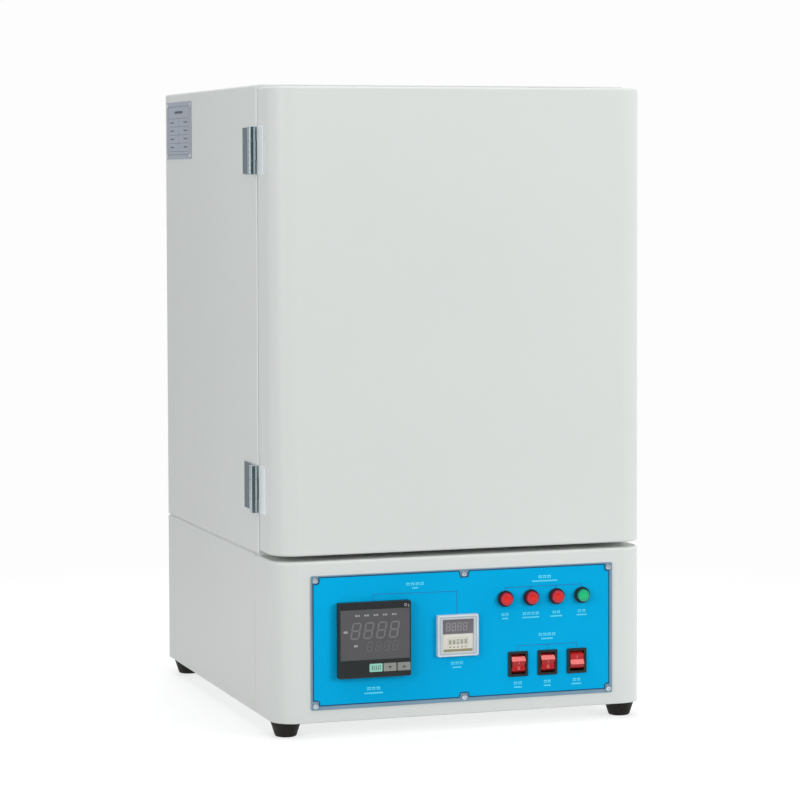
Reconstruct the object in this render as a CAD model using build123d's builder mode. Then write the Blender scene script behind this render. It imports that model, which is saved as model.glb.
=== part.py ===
from build123d import *
from math import cos, radians, sin
import os

# Laboratory drying oven: an insulated cabinet on a base that holds the controls.
# X runs to the right, Y to the back, Z up. The feet stand on Z = 0.

# Cabinet and base
cabinet_width = 500.0
cabinet_depth = 558.5
base_height = 204.5
upper_height = 598.5
sheet = 1.5
deck_thickness = 1.5
deck_inset = 2.0
corner_radius = 30.0
wrap_bend_radius = 3.0
ledge_bend_radius = 4.0
cover_foot_radius = 1.2
flange_width = 20.0
rear_return_width = 14.0
cover_wrap_depth = 95.0
cover_gap = 0.8
tray_thickness = 2.0
tray_upstand = 26.0

# Feet
foot_height = 20.0
foot_top_radius = 20.0
foot_bottom_radius = 13.5
foot_edge_radius = 3.0
foot_side_inset = 22.0
foot_front_inset = 33.0
foot_rear_inset = 24.0
foot_stud_radius = 4.0
foot_stud_length = 12.0
foot_stud_clearance = 0.2

# Door
door_thickness = 72.2
door_gap = 2.0
door_lift = 7.0
door_top_step = 4.0
door_edge_radius = 3.0
door_return_width = 14.0
door_opening_radius = 4.0
door_panel_recess = 4.0
door_panel_thickness = 1.0
plug_depth = 30.0
plug_clearance = 6.0
plug_corner_radius = 12.0
plug_edge_radius = 3.0
insulation_gap = 0.3
gasket_width = 10.0
gasket_land = 3.0
gasket_seal_gap = 0.3
gasket_edge_radius = 1.5

# Chamber
chamber_width = 360.0
chamber_height = 400.0
chamber_depth = 340.0
chamber_lift = 99.0
liner_thickness = 1.0
liner_flange_width = 14.0
back_insulation = 60.0

# Air circulation
duct_depth = 50.0
baffle_margin = 12.0
baffle_corner_radius = 4.0
baffle_inner_radius = 3.0
baffle_hole_radius = 6.0
baffle_hole_pitch = 17.0
outlet_slot_length = 30.0
outlet_slot_width = 8.0
outlet_slot_pitch = 42.0
shaft_radius = 4.0
shaft_running_fit = 0.05
shaft_hole_radius = 8.0
impeller_radius = 72.0
impeller_inner_radius = 48.0
impeller_depth = 32.0
impeller_plate = 1.5
impeller_blade = 1.5
blade_ring_margin = 2.0
blade_angle = 25.0
blade_count = 18
hub_radius = 11.0
hub_length = 18.0
impeller_back_gap = 9.0
motor_radius = 42.0
motor_length = 48.0
motor_flange_radius = 56.0
motor_flange_thickness = 4.0
motor_cap_length = 8.0
motor_edge_radius = 4.0
shaft_inset = 6.0

# Heating element
heater_radius = 3.5
heater_ring_radius = 92.0
heater_bend_radius = 14.0
heater_half_opening = 16.0
heater_terminal_length = 22.0
heater_hole_clearance = 0.5

# Temperature probe
probe_radius = 3.0
probe_reach = 60.0
probe_side_offset = 140.0
probe_height_offset = 165.0
probe_washer_radius = 12.0
probe_washer_thickness = 2.0
probe_head_radius = 7.0
probe_head_length = 24.0
probe_clearance = 0.3

# Exhaust port with its butterfly damper
port_length = 30.0
port_radius = 16.0
port_wall = 1.5
port_side_offset = 110.0
port_height_offset = 150.0
port_spigot_radius = 15.5
port_spigot_length = 14.0
port_lip_radius = 22.0
port_lip_thickness = 1.0
port_hole_clearance = 0.4
damper_set_back = 10.0
damper_edge_clearance = 0.4
damper_thickness = 1.5
spindle_radius = 2.0
spindle_running_fit = 0.05
spindle_tail = 3.0
damper_knob_radius = 7.0
damper_knob_height = 9.0
damper_knob_lift = 0.5
damper_wing_width = 3.0
damper_wing_length = 11.0

# Shelves and their racks
rack_plate = 1.2
rack_depth = 250.0
rack_height = 360.0
rack_ledge = 13.0
rack_levels = 5
rack_pitch = 66.0
rack_first_level = 34.0
rack_window_margin = 12.0
rack_window_radius = 6.0
rack_corner_radius = 3.0
shelf_side_clearance = 2.0
shelf_depth = 235.0
shelf_rod_radius = 2.5
shelf_wire_radius = 1.5
shelf_wire_count = 13
shelf_corner_radius = 12.0
shelf_seat_gap = 0.3
shelf_rear_clearance = 3.0
lower_shelf_index = 1
upper_shelf_index = 3

# Hinges
hinge_height = 60.0
hinge_edge_distance = 49.5
hinge_body_reach = 63.0
hinge_door_reach = 35.0
hinge_axis_offset = 6.5
hinge_leaf_thickness = 2.5
hinge_leaf_edge_radius = 0.8
barrel_radius = 6.1
barrel_set_back = 0.8
knuckle_gap = 0.4
knuckle_middle = 24.0
hinge_pin_radius = 3.0
hinge_pin_fit = 0.05

# Door pull and magnetic catches
pull_height = 110.0
pull_base_depth = 30.0
pull_base_thickness = 2.0
pull_lip_thickness = 3.0
pull_stand = 10.5
pull_rear_inset = 4.0
catch_width = 10.0
catch_length = 50.0
catch_depth = 14.0
catch_side_inset = 4.0
catch_air_gap = 0.5
catch_edge_distance = 120.0
catch_corner_radius = 1.0

# Data plate
plate_length = 140.0
plate_height = 80.0
plate_thickness = 0.8
plate_rear_inset = 8.0
plate_top_inset = 12.0
plate_corner_radius = 2.0
rivet_inset = 5.0
rivet_head_radius = 2.4
rivet_head_height = 1.0
rivet_shank_radius = 1.5
rivet_hole_clearance = 0.1

# Cover screws
screw_head_radius = 3.6
screw_head_height = 2.2
screw_shank_radius = 2.0
screw_shank_length = 5.5
screw_hole_clearance = 0.1
screw_slot_width = 0.9
screw_slot_depth = 0.8
vent_slot_length = 60.0
vent_column_pitch = 78.0
vent_slot_width = 5.0
vent_slot_pitch = 12.0
vent_rows = 5

# Control panel
panel_side_margin = 46.0
panel_height = 170.0
panel_thickness = 1.5
panel_corner_radius = 2.0
panel_lift = 16.3
panel_opening_margin = 14.0
panel_opening_radius = 6.0
panel_screw_inset = 5.5
control_clearance = 0.4

# Temperature controller
controller_size = 96.0
controller_stand = 10.0
controller_inset = 33.5
controller_bottom = 55.4
controller_case_size = 90.0
controller_case_depth = 75.0
controller_edge_radius = 1.5
controller_corner_radius = 2.0
window_width = 92.0
window_height = 64.0
window_thickness = 1.5
window_recess = 0.3
window_top_inset = 9.0
key_width = 17.2
key_height = 10.5
key_pitch = 18.6
key_first = 40.0
key_lift = 7.3
key_stand = 1.2
key_thickness = 5.0
key_travel = 0.8
key_clearance = 0.3
key_edge_radius = 0.6
key_corner_radius = 1.0

# Digital timer
timer_width = 56.0
timer_height = 54.0
timer_stand = 6.0
timer_offset = 10.0
timer_center_z = 102.3
timer_corner_radius = 2.6
timer_rim_radius = 1.5
timer_face_size = 42.0
timer_face_set_back = 1.5
timer_depth = 62.0
timer_display_width = 41.0
timer_display_height = 18.0
timer_display_depth = 0.8
timer_display_lift = 11.6
timer_display_radius = 0.8
wheel_count = 5
wheel_radius = 6.5
wheel_width = 3.2
wheel_pitch = 5.3
wheel_stand = 0.5
wheel_side_clearance = 0.3
wheel_axle_radius = 1.0
wheel_running_fit = 0.05
wheel_drop = 8.0
wheel_groove_depth = 0.4
wheel_groove_width = 0.7
wheel_digits = 10

# Indicator lamps
lamp_row_inset = 32.1
lamp_pitch = 35.2
lamp_count = 4
lamp_center_z = 145.8
lamp_bezel_radius = 10.5
lamp_bezel_stand = 4.0
lamp_body_radius = 9.8
lamp_body_depth = 34.0
lamp_bore_radius = 8.9
lamp_lens_radius = 8.6
lamp_lens_stand = 8.5
lamp_lens_seat = 3.0
lamp_lens_edge = 1.2
lamp_bezel_chamfer = 0.9

# Rocker switches
switch_row_inset = 36.3
switch_pitch = 40.5
switch_count = 3
switch_center_z = 60.5
switch_width = 27.0
switch_height = 32.5
switch_bezel_stand = 2.5
switch_bezel_radius = 2.0
switch_bezel_chamfer = 0.8
switch_body_width = 23.5
switch_body_height = 29.0
switch_body_depth = 26.0
switch_opening_width = 19.4
rocker_width = 18.6
rocker_half_length = 11.0
rocker_end_clearance = 0.5
rocker_pivot_depth = 7.0
rocker_center_stand = 0.5
rocker_tilt = 10.0
rocker_pin_radius = 1.5
rocker_pin_fit = 0.05
rocker_skirt_depth = 4.0
rocker_edge_radius = 1.0
rocker_slope_depth = 5.0
rocker_slope_height = 5.0
rocker_pocket_clearance = 3.0

# Electrical parts in the base
heatsink_length = 100.0
heatsink_width = 80.0
heatsink_base = 6.0
heatsink_fin_height = 22.0
heatsink_fin = 2.0
heatsink_fin_count = 9
relay_length = 58.0
relay_width = 45.0
relay_height = 23.0
relay_corner_radius = 3.0
relay_terminal_radius = 4.0
relay_terminal_height = 3.0
gland_left = 70.0
gland_lift = 60.0
gland_thread_radius = 8.0
gland_flange_radius = 12.0
gland_flange_thickness = 4.0
gland_dome_radius = 10.0
gland_dome_length = 14.0
gland_bore_radius = 4.5
gland_nut_thickness = 5.0
gland_hole_clearance = 0.2

# Places worked out from the sizes
control_stand = panel_thickness + controller_stand + key_stand
panel_width = cabinet_width - 2 * panel_side_margin
left_x = -cabinet_width / 2
right_x = cabinet_width / 2
front_y = control_stand - (control_stand + cabinet_depth + port_length) / 2
rear_y = front_y + cabinet_depth
base_bottom_z = foot_height
base_top_z = base_bottom_z + base_height
body_bottom_z = base_top_z + deck_thickness
body_top_z = body_bottom_z + upper_height
body_middle_z = (body_bottom_z + body_top_z) / 2
door_back_y = front_y + door_thickness
face_y = door_back_y + door_gap
hinge_y = (door_back_y + face_y) / 2
inner_width = cabinet_width - 2 * sheet
body_depth = rear_y - face_y

chamber_z = body_bottom_z + chamber_lift + chamber_height / 2
chamber_back_y = face_y + chamber_depth
liner_back_y = chamber_back_y + liner_thickness
bulkhead_y = liner_back_y + back_insulation
liner_width = chamber_width + 2 * liner_thickness
liner_height = chamber_height + 2 * liner_thickness
baffle_y = chamber_back_y - duct_depth
screw_hole_radius = screw_shank_radius + screw_hole_clearance
port_hole_radius = port_radius + port_hole_clearance
probe_hole_radius = probe_radius + probe_clearance
heater_hole_radius = heater_radius + heater_hole_clearance
port_x = port_side_offset
port_z = chamber_z + port_height_offset
probe_x = -probe_side_offset
probe_z = chamber_z + probe_height_offset
heater_ring_y = chamber_back_y - duct_depth / 2
heater_ends = []
heater_legs = []
for side in (1, -1):
    end_angle = radians(side * heater_half_opening)
    ring_end = Vector(
        heater_ring_radius * sin(end_angle), heater_ring_y, chamber_z - heater_ring_radius * cos(end_angle)
    )
    toward_gap = Vector(-side * cos(end_angle), 0, -abs(sin(end_angle)))
    heater_ends.append(ring_end)
    heater_legs.append(ring_end + toward_gap * heater_bend_radius + Vector(0, heater_bend_radius, 0))

door_bottom_z = base_top_z + door_lift
door_top_z = body_top_z - door_top_step
door_height = door_top_z - door_bottom_z
door_middle_z = (door_top_z + door_bottom_z) / 2
door_panel_y = door_back_y - door_panel_recess - door_panel_thickness
plug_width = chamber_width - 2 * plug_clearance
plug_height = chamber_height - 2 * plug_clearance
hinge_x = left_x - hinge_axis_offset
hinge_centers = (
    door_top_z - hinge_edge_distance - hinge_height / 2,
    door_bottom_z + hinge_edge_distance + hinge_height / 2,
)

panel_front_y = front_y - panel_thickness
panel_middle_z = base_bottom_z + panel_lift + panel_height / 2
controller_x = controller_inset + controller_size / 2 - panel_width / 2
controller_z = base_bottom_z + controller_bottom + controller_size / 2
controller_front_y = panel_front_y - controller_stand
window_z = controller_z + controller_size / 2 - window_top_inset - window_height / 2
key_z = controller_z - controller_size / 2 + key_lift + key_height / 2
key_x = [
    controller_x - controller_size / 2 + key_first + key_width / 2 + i * key_pitch
    for i in range(3)
]
timer_x = -timer_offset
timer_z = base_bottom_z + timer_center_z
timer_face_y = panel_front_y - timer_stand + timer_face_set_back
wheel_z = timer_z - wheel_drop
wheel_y = timer_face_y - wheel_stand + wheel_radius
wheel_x = [timer_x + (i - (wheel_count - 1) / 2) * wheel_pitch for i in range(wheel_count)]
last_lamp_x = panel_width / 2 - lamp_row_inset - lamp_bezel_radius
lamp_x = [last_lamp_x - i * lamp_pitch for i in reversed(range(lamp_count))]
lamp_z = base_bottom_z + lamp_center_z
last_switch_x = panel_width / 2 - switch_row_inset - switch_width / 2
switch_x = [last_switch_x - i * switch_pitch for i in reversed(range(switch_count))]
switch_z = base_bottom_z + switch_center_z
rocker_pivot_y = panel_front_y + rocker_pivot_depth
panel_screws_at = [
    (x, panel_middle_z + z)
    for x in (-panel_width / 2 + panel_screw_inset, 0, panel_width / 2 - panel_screw_inset)
    for z in (panel_height / 2 - panel_screw_inset, panel_screw_inset - panel_height / 2)
]
gland_x = left_x + gland_left
gland_z = base_bottom_z + gland_lift
base_screws_at = [
    (side * (inner_width / 2 - rear_return_width), base_bottom_z + tray_upstand / 2) for side in (-1, 1)
]


def facing_front(y):
    """Upright plane at depth y, seen from the front: its x is X and its y is Z."""
    return Plane.XZ.offset(-y)


def slab(width, height, center, y_front, y_back, radius=0.0, mode=Mode.ADD):
    """Upright plate in the part being built, centred at (x, z), from y_front to y_back."""
    with BuildSketch(facing_front(y_front)) as outline:
        with Locations(center):
            if radius:
                RectangleRounded(width, height, radius)
            else:
                Rectangle(width, height)
    extrude(outline.sketch, amount=-(y_back - y_front), mode=mode)


def round_bar(radius, centers, y_front, y_back, mode=Mode.ADD):
    """Round bars along Y in the part being built, centred at each (x, z)."""
    with BuildSketch(facing_front(y_front)) as outline:
        with Locations(*centers):
            Circle(radius)
    extrude(outline.sketch, amount=-(y_back - y_front), mode=mode)


def front_rounded_plan(inset, back_y, z):
    """Plan with round front corners at height z, set in by inset and ending at back_y."""
    with BuildSketch(Plane.XY.offset(z), mode=Mode.PRIVATE) as plan:
        with BuildLine():
            Polyline(
                (left_x + inset, back_y),
                (left_x + inset, front_y + inset),
                (right_x - inset, front_y + inset),
                (right_x - inset, back_y),
                close=True,
            )
        make_face()
        fillet(vertices().group_by(Axis.Y)[0], corner_radius - inset)
    return plan.sketch


parts = {}


# Outer wrap: sides and top in one bent sheet, with returns under the cabinet and at the rear
cover_screw_x = inner_width / 2 - rear_return_width / 2
upper_screws_at = [
    (x, z)
    for x in (-cover_screw_x, 0, cover_screw_x)
    for z in (body_bottom_z + sheet + rear_return_width / 2, body_top_z - sheet - rear_return_width / 2)
]
plate_x = left_x - plate_thickness
plate_y = rear_y - plate_rear_inset - plate_length / 2
plate_z = body_top_z - plate_top_inset - plate_height / 2
rivets_at = [
    (y, plate_z + z)
    for y in (plate_y - plate_length / 2 + rivet_inset, plate_y + plate_length / 2 - rivet_inset)
    for z in (plate_height / 2 - rivet_inset, rivet_inset - plate_height / 2)
]
with BuildPart() as cabinet_wrap:
    with BuildSketch(facing_front(face_y)):
        with Locations((0, body_middle_z)):
            Rectangle(cabinet_width, upper_height)
        fillet(vertices(), wrap_bend_radius)
        with Locations((0, body_middle_z)):
            Rectangle(inner_width, upper_height - 2 * sheet, mode=Mode.SUBTRACT)
        with Locations((0, body_bottom_z + sheet / 2)):
            Rectangle(inner_width - 2 * flange_width, 2 * sheet, mode=Mode.SUBTRACT)
    extrude(amount=-body_depth)
    with BuildSketch(facing_front(rear_y - 2 * sheet)):
        with Locations((0, body_middle_z)):
            Rectangle(inner_width, upper_height - 2 * sheet)
            Rectangle(
                inner_width - 2 * rear_return_width,
                upper_height - 2 * sheet - 2 * rear_return_width,
                mode=Mode.SUBTRACT,
            )
    extrude(amount=-sheet)
    round_bar(screw_hole_radius, upper_screws_at, rear_y - 3 * sheet, rear_y, Mode.SUBTRACT)
    with BuildSketch(Plane.YZ.offset(left_x - sheet)):
        with Locations(*rivets_at):
            Circle(rivet_shank_radius + rivet_hole_clearance)
    extrude(amount=3 * sheet, mode=Mode.SUBTRACT)
parts["cabinet_wrap"] = cabinet_wrap

# Front frame: the steel face between the wrap and the chamber mouth
catch_x = right_x - catch_side_inset - catch_width / 2
catches_at = [
    (catch_x, door_top_z - catch_edge_distance),
    (catch_x, door_bottom_z + catch_edge_distance),
]
with BuildPart() as front_frame:
    slab(inner_width, upper_height - 2 * sheet, (0, body_middle_z), face_y, face_y + sheet)
    slab(liner_width, liner_height, (0, chamber_z), face_y, face_y + sheet, mode=Mode.SUBTRACT)
    for center in catches_at:
        slab(catch_width, catch_length, center, face_y, face_y + sheet, mode=Mode.SUBTRACT)
parts["front_frame"] = front_frame

# Magnetic catches that hold the door shut, set through the front frame
with BuildPart() as door_catches:
    for center in catches_at:
        slab(
            catch_width,
            catch_length,
            center,
            door_back_y + catch_air_gap,
            face_y + catch_depth,
            catch_corner_radius,
        )
parts["door_catches"] = door_catches

# Chamber liner: stainless box, open to the front, with a flange that the gasket seals on
heater_legs_at = [(leg.X, leg.Z) for leg in heater_legs]
with BuildPart() as chamber_liner:
    slab(liner_width, liner_height, (0, chamber_z), face_y, liner_back_y)
    slab(
        liner_width + 2 * liner_flange_width,
        liner_height + 2 * liner_flange_width,
        (0, chamber_z),
        face_y - liner_thickness,
        face_y,
    )
    slab(
        chamber_width,
        chamber_height,
        (0, chamber_z),
        face_y - liner_thickness,
        chamber_back_y,
        mode=Mode.SUBTRACT,
    )
    round_bar(shaft_hole_radius, [(0, chamber_z)], chamber_back_y, liner_back_y, Mode.SUBTRACT)
    round_bar(heater_hole_radius, heater_legs_at, chamber_back_y, liner_back_y, Mode.SUBTRACT)
    round_bar(port_hole_radius, [(port_x, port_z)], chamber_back_y, liner_back_y, Mode.SUBTRACT)
    round_bar(probe_hole_radius, [(probe_x, probe_z)], chamber_back_y, liner_back_y, Mode.SUBTRACT)
parts["chamber_liner"] = chamber_liner

# Mineral wool round the chamber: top, bottom, two sides and back, each a slab of its own
wool_front_y = face_y + catch_depth + insulation_gap
wool_bottom_z = body_bottom_z + sheet + insulation_gap
wool_top_z = body_top_z - sheet - insulation_gap
liner_top_z = chamber_z + liner_height / 2
liner_bottom_z = chamber_z - liner_height / 2
wool_width = inner_width - 2 * insulation_gap
wool_side_width = (wool_width - liner_width) / 2 - insulation_gap
wool_side_x = liner_width / 2 + insulation_gap + wool_side_width / 2
wool_back_y = bulkhead_y - insulation_gap
with BuildPart() as chamber_insulation:
    slab(
        wool_width,
        wool_top_z - liner_top_z - insulation_gap,
        (0, (wool_top_z + liner_top_z + insulation_gap) / 2),
        wool_front_y,
        wool_back_y,
    )
    slab(
        wool_width,
        liner_bottom_z - insulation_gap - wool_bottom_z,
        (0, (liner_bottom_z - insulation_gap + wool_bottom_z) / 2),
        wool_front_y,
        wool_back_y,
    )
    for side in (-1, 1):
        slab(wool_side_width, liner_height, (side * wool_side_x, chamber_z), wool_front_y, wool_back_y)
    slab(liner_width, liner_height, (0, chamber_z), liner_back_y + insulation_gap, wool_back_y)
    round_bar(shaft_hole_radius, [(0, chamber_z)], liner_back_y, bulkhead_y, Mode.SUBTRACT)
    round_bar(heater_hole_radius, heater_legs_at, liner_back_y, bulkhead_y, Mode.SUBTRACT)
    round_bar(port_hole_radius, [(port_x, port_z)], liner_back_y, bulkhead_y, Mode.SUBTRACT)
    round_bar(probe_hole_radius, [(probe_x, probe_z)], liner_back_y, bulkhead_y, Mode.SUBTRACT)
parts["chamber_insulation"] = chamber_insulation

# Bulkhead behind the wool, which carries the motor
motor_screw_offset = (motor_flange_radius + motor_radius) / 2 * sin(radians(45))
motor_screws_at = [
    (x, chamber_z + z)
    for x in (-motor_screw_offset, motor_screw_offset)
    for z in (-motor_screw_offset, motor_screw_offset)
]
with BuildPart() as motor_bulkhead:
    slab(inner_width, upper_height - 2 * sheet, (0, body_middle_z), bulkhead_y, bulkhead_y + sheet)
    round_bar(shaft_hole_radius, [(0, chamber_z)], bulkhead_y, bulkhead_y + sheet, Mode.SUBTRACT)
    round_bar(heater_hole_radius, heater_legs_at, bulkhead_y, bulkhead_y + sheet, Mode.SUBTRACT)
    round_bar(port_hole_radius, [(port_x, port_z)], bulkhead_y, bulkhead_y + sheet, Mode.SUBTRACT)
    round_bar(probe_hole_radius, [(probe_x, probe_z)], bulkhead_y, bulkhead_y + sheet, Mode.SUBTRACT)
    round_bar(screw_hole_radius, motor_screws_at, bulkhead_y, bulkhead_y + sheet, Mode.SUBTRACT)
parts["motor_bulkhead"] = motor_bulkhead

# Air baffle: the pan in front of the fan, drawing air in the middle and blowing it out at the sides
baffle_width = chamber_width - 2 * baffle_margin
baffle_height = chamber_height - 2 * baffle_margin
inlet_rings = [(0, 1)] + [(ring * baffle_hole_pitch, 6 * ring) for ring in (1, 2)]
with BuildPart() as air_baffle:
    slab(baffle_width, baffle_height, (0, chamber_z), baffle_y, chamber_back_y, baffle_corner_radius)
    slab(
        baffle_width - 2 * liner_thickness,
        baffle_height - 2 * liner_thickness,
        (0, chamber_z),
        baffle_y + liner_thickness,
        chamber_back_y,
        baffle_inner_radius,
        Mode.SUBTRACT,
    )
    with BuildSketch(facing_front(baffle_y)) as inlet:
        with Locations((0, chamber_z)):
            for ring_radius, hole_count in inlet_rings:
                with PolarLocations(ring_radius, hole_count):
                    Circle(baffle_hole_radius)
    extrude(inlet.sketch, amount=-liner_thickness, mode=Mode.SUBTRACT)
    with BuildSketch(Plane.YZ.offset(-chamber_width / 2)) as outlets:
        with Locations((baffle_y + duct_depth / 2, chamber_z)):
            with GridLocations(0, outlet_slot_pitch, 1, 7):
                SlotOverall(outlet_slot_length, outlet_slot_width, rotation=90)
    extrude(outlets.sketch, amount=chamber_width, mode=Mode.SUBTRACT)
    round_bar(probe_hole_radius, [(probe_x, probe_z)], baffle_y, baffle_y + liner_thickness, Mode.SUBTRACT)
parts["air_baffle"] = air_baffle

# Fan motor, flanged to the rear of the bulkhead
motor_front_y = bulkhead_y + sheet
motor_back_y = motor_front_y + motor_flange_thickness + motor_length
with BuildPart() as fan_motor:
    round_bar(motor_flange_radius, [(0, chamber_z)], motor_front_y, motor_front_y + motor_flange_thickness)
    round_bar(motor_radius, [(0, chamber_z)], motor_front_y + motor_flange_thickness, motor_back_y)
    fillet(faces().sort_by(Axis.Y)[-1].edges(), motor_edge_radius)
    round_bar(hub_radius, [(0, chamber_z)], motor_back_y, motor_back_y + motor_cap_length)
    round_bar(
        shaft_radius + shaft_running_fit,
        [(0, chamber_z)],
        motor_front_y,
        motor_back_y - shaft_inset,
        Mode.SUBTRACT,
    )
    round_bar(
        screw_hole_radius,
        motor_screws_at,
        motor_front_y,
        motor_front_y + motor_flange_thickness,
        Mode.SUBTRACT,
    )
parts["fan_motor"] = fan_motor

# Fan shaft, from inside the motor to the impeller hub
impeller_back_y = chamber_back_y - impeller_back_gap
impeller_front_y = impeller_back_y - impeller_depth
with BuildPart() as fan_shaft:
    round_bar(
        shaft_radius,
        [(0, chamber_z)],
        impeller_back_y - hub_length,
        motor_back_y - 2 * shaft_inset,
    )
parts["fan_shaft"] = fan_shaft

# Centrifugal impeller: back plate, blades, front ring and hub
with BuildPart() as fan_impeller:
    round_bar(impeller_radius, [(0, chamber_z)], impeller_back_y - impeller_plate, impeller_back_y)
    with BuildSketch(facing_front(impeller_front_y)) as front_ring:
        with Locations((0, chamber_z)):
            Circle(impeller_radius)
            Circle(impeller_inner_radius, mode=Mode.SUBTRACT)
    extrude(front_ring.sketch, amount=-impeller_plate)
    with BuildSketch(facing_front(impeller_front_y)) as blades:
        with Locations((0, chamber_z)):
            with PolarLocations((impeller_radius + impeller_inner_radius) / 2, blade_count):
                Rectangle(
                    impeller_radius - impeller_inner_radius - blade_ring_margin,
                    impeller_blade,
                    rotation=blade_angle,
                )
    extrude(blades.sketch, amount=-(impeller_depth - impeller_plate / 2))
    round_bar(hub_radius, [(0, chamber_z)], impeller_back_y - hub_length, impeller_back_y)
    round_bar(
        shaft_radius + shaft_running_fit,
        [(0, chamber_z)],
        impeller_back_y - hub_length,
        impeller_back_y,
        Mode.SUBTRACT,
    )
parts["fan_impeller"] = fan_impeller

# Tubular heating element: an open ring round the impeller, its legs passing out through the back
heater_end_y = bulkhead_y + sheet + heater_terminal_length
with BuildPart() as heating_element:
    with BuildLine() as heater_path:
        Line((heater_legs[0].X, heater_end_y, heater_legs[0].Z), heater_legs[0])
        TangentArc(heater_legs[0], heater_ends[0], tangent=(0, -1, 0))
        ThreePointArc(heater_ends[0], (0, heater_ring_y, chamber_z + heater_ring_radius), heater_ends[1])
        TangentArc(heater_legs[1], heater_ends[1], tangent=(0, -1, 0))
        Line(heater_legs[1], (heater_legs[1].X, heater_end_y, heater_legs[1].Z))
    with BuildSketch(Plane(origin=heater_path.line @ 0, z_dir=heater_path.line % 0)):
        Circle(heater_radius)
    sweep(path=heater_path.line)
parts["heating_element"] = heating_element

# Temperature probe through the back wall, with its washer and head
with BuildPart() as temperature_probe:
    round_bar(probe_radius, [(probe_x, probe_z)], baffle_y - probe_reach, bulkhead_y + sheet)
    fillet(faces().sort_by(Axis.Y)[0].edges(), probe_radius * 0.8)
    probe_seat_y = bulkhead_y + sheet
    round_bar(
        probe_washer_radius, [(probe_x, probe_z)], probe_seat_y, probe_seat_y + probe_washer_thickness
    )
    round_bar(
        probe_head_radius,
        [(probe_x, probe_z)],
        probe_seat_y + probe_washer_thickness,
        probe_seat_y + probe_washer_thickness + probe_head_length,
    )
parts["temperature_probe"] = temperature_probe

# Exhaust tube from the air duct to the port at the rear
damper_y = rear_y + damper_set_back
port_bore = port_radius - port_wall
port_at = [(port_x, port_z)]
port_end_y = rear_y + port_length
spigot_y = port_end_y - port_spigot_length
with BuildPart() as exhaust_tube:
    round_bar(port_radius, port_at, chamber_back_y - port_lip_thickness, spigot_y)
    round_bar(port_spigot_radius, port_at, spigot_y, port_end_y)
    round_bar(port_lip_radius, port_at, chamber_back_y - port_lip_thickness, chamber_back_y)
    round_bar(port_bore, port_at, chamber_back_y - port_lip_thickness, port_end_y, Mode.SUBTRACT)
    with BuildSketch(Plane.XY.offset(port_z - 2 * port_radius)) as spindle_hole:
        with Locations((port_x, damper_y)):
            Circle(spindle_radius + spindle_running_fit)
    extrude(spindle_hole.sketch, amount=4 * port_radius, mode=Mode.SUBTRACT)
parts["exhaust_tube"] = exhaust_tube

# Butterfly damper on its spindle, with a wing knob above the port
knob_bottom_z = port_z + port_radius + damper_knob_lift
with BuildPart() as exhaust_damper:
    round_bar(
        port_bore - damper_edge_clearance,
        [(port_x, port_z)],
        damper_y - damper_thickness / 2,
        damper_y + damper_thickness / 2,
    )
    with BuildSketch(Plane.XY.offset(port_z - port_radius - spindle_tail)) as spindle:
        with Locations((port_x, damper_y)):
            Circle(spindle_radius)
    extrude(spindle.sketch, amount=2 * port_radius + spindle_tail + damper_knob_lift)
    with BuildSketch(Plane.XY.offset(knob_bottom_z)) as knob_disc:
        with Locations((port_x, damper_y)):
            Circle(damper_knob_radius)
    extrude(knob_disc.sketch, amount=damper_knob_height / 3)
    with BuildSketch(Plane.XY.offset(knob_bottom_z + damper_knob_height / 3)) as knob_wing:
        with Locations((port_x, damper_y)):
            SlotOverall(damper_wing_length, damper_wing_width)
    extrude(knob_wing.sketch, amount=2 * damper_knob_height / 3)
parts["exhaust_damper"] = exhaust_damper

# Rear cover of the upper cabinet, with its air slots
with BuildPart() as rear_cover:
    slab(inner_width, upper_height - 2 * sheet, (0, body_middle_z), rear_y - sheet, rear_y)
    round_bar(port_hole_radius, [(port_x, port_z)], rear_y - sheet, rear_y, Mode.SUBTRACT)
    round_bar(screw_hole_radius, upper_screws_at, rear_y - sheet, rear_y, Mode.SUBTRACT)
    with BuildSketch(facing_front(rear_y - sheet)) as vent_slots:
        with Locations((0, chamber_z)):
            with GridLocations(vent_column_pitch, vent_slot_pitch, 2, 2 * vent_rows):
                SlotOverall(vent_slot_length, vent_slot_width)
    extrude(vent_slots.sketch, amount=-sheet, mode=Mode.SUBTRACT)
parts["rear_cover"] = rear_cover

# Shelf racks: a plate with windows and ledges against each chamber side
rack_middle_y = baffle_y - rack_depth / 2
rack_bottom_z = chamber_z - rack_height / 2
ledge_z = [rack_bottom_z + rack_first_level + i * rack_pitch for i in range(rack_levels)]
window_tall = rack_pitch - rack_window_margin
window_long = (rack_depth - 3 * rack_window_margin) / 2
with BuildPart() as shelf_racks:
    for side in (-1, 1):
        wall_x = side * (chamber_width / 2 - rack_plate / 2)
        with BuildSketch(Plane.YZ.offset(wall_x - rack_plate / 2)) as rack_outline:
            with Locations((rack_middle_y, chamber_z)):
                RectangleRounded(rack_depth, rack_height, rack_corner_radius)
            for low, high in zip(ledge_z[:-1], ledge_z[1:]):
                with Locations((rack_middle_y, (low + high) / 2)):
                    with GridLocations(window_long + rack_window_margin, 0, 2, 1):
                        RectangleRounded(window_long, window_tall, rack_window_radius, mode=Mode.SUBTRACT)
        extrude(rack_outline.sketch, amount=rack_plate)
        ledge_x = side * (chamber_width / 2 - rack_ledge / 2)
        with BuildSketch(facing_front(rack_middle_y - rack_depth / 2)) as ledges:
            for z in ledge_z:
                with Locations((ledge_x, z)):
                    Rectangle(rack_ledge, rack_plate)
        extrude(ledges.sketch, amount=-rack_depth)
parts["shelf_racks"] = shelf_racks

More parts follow.
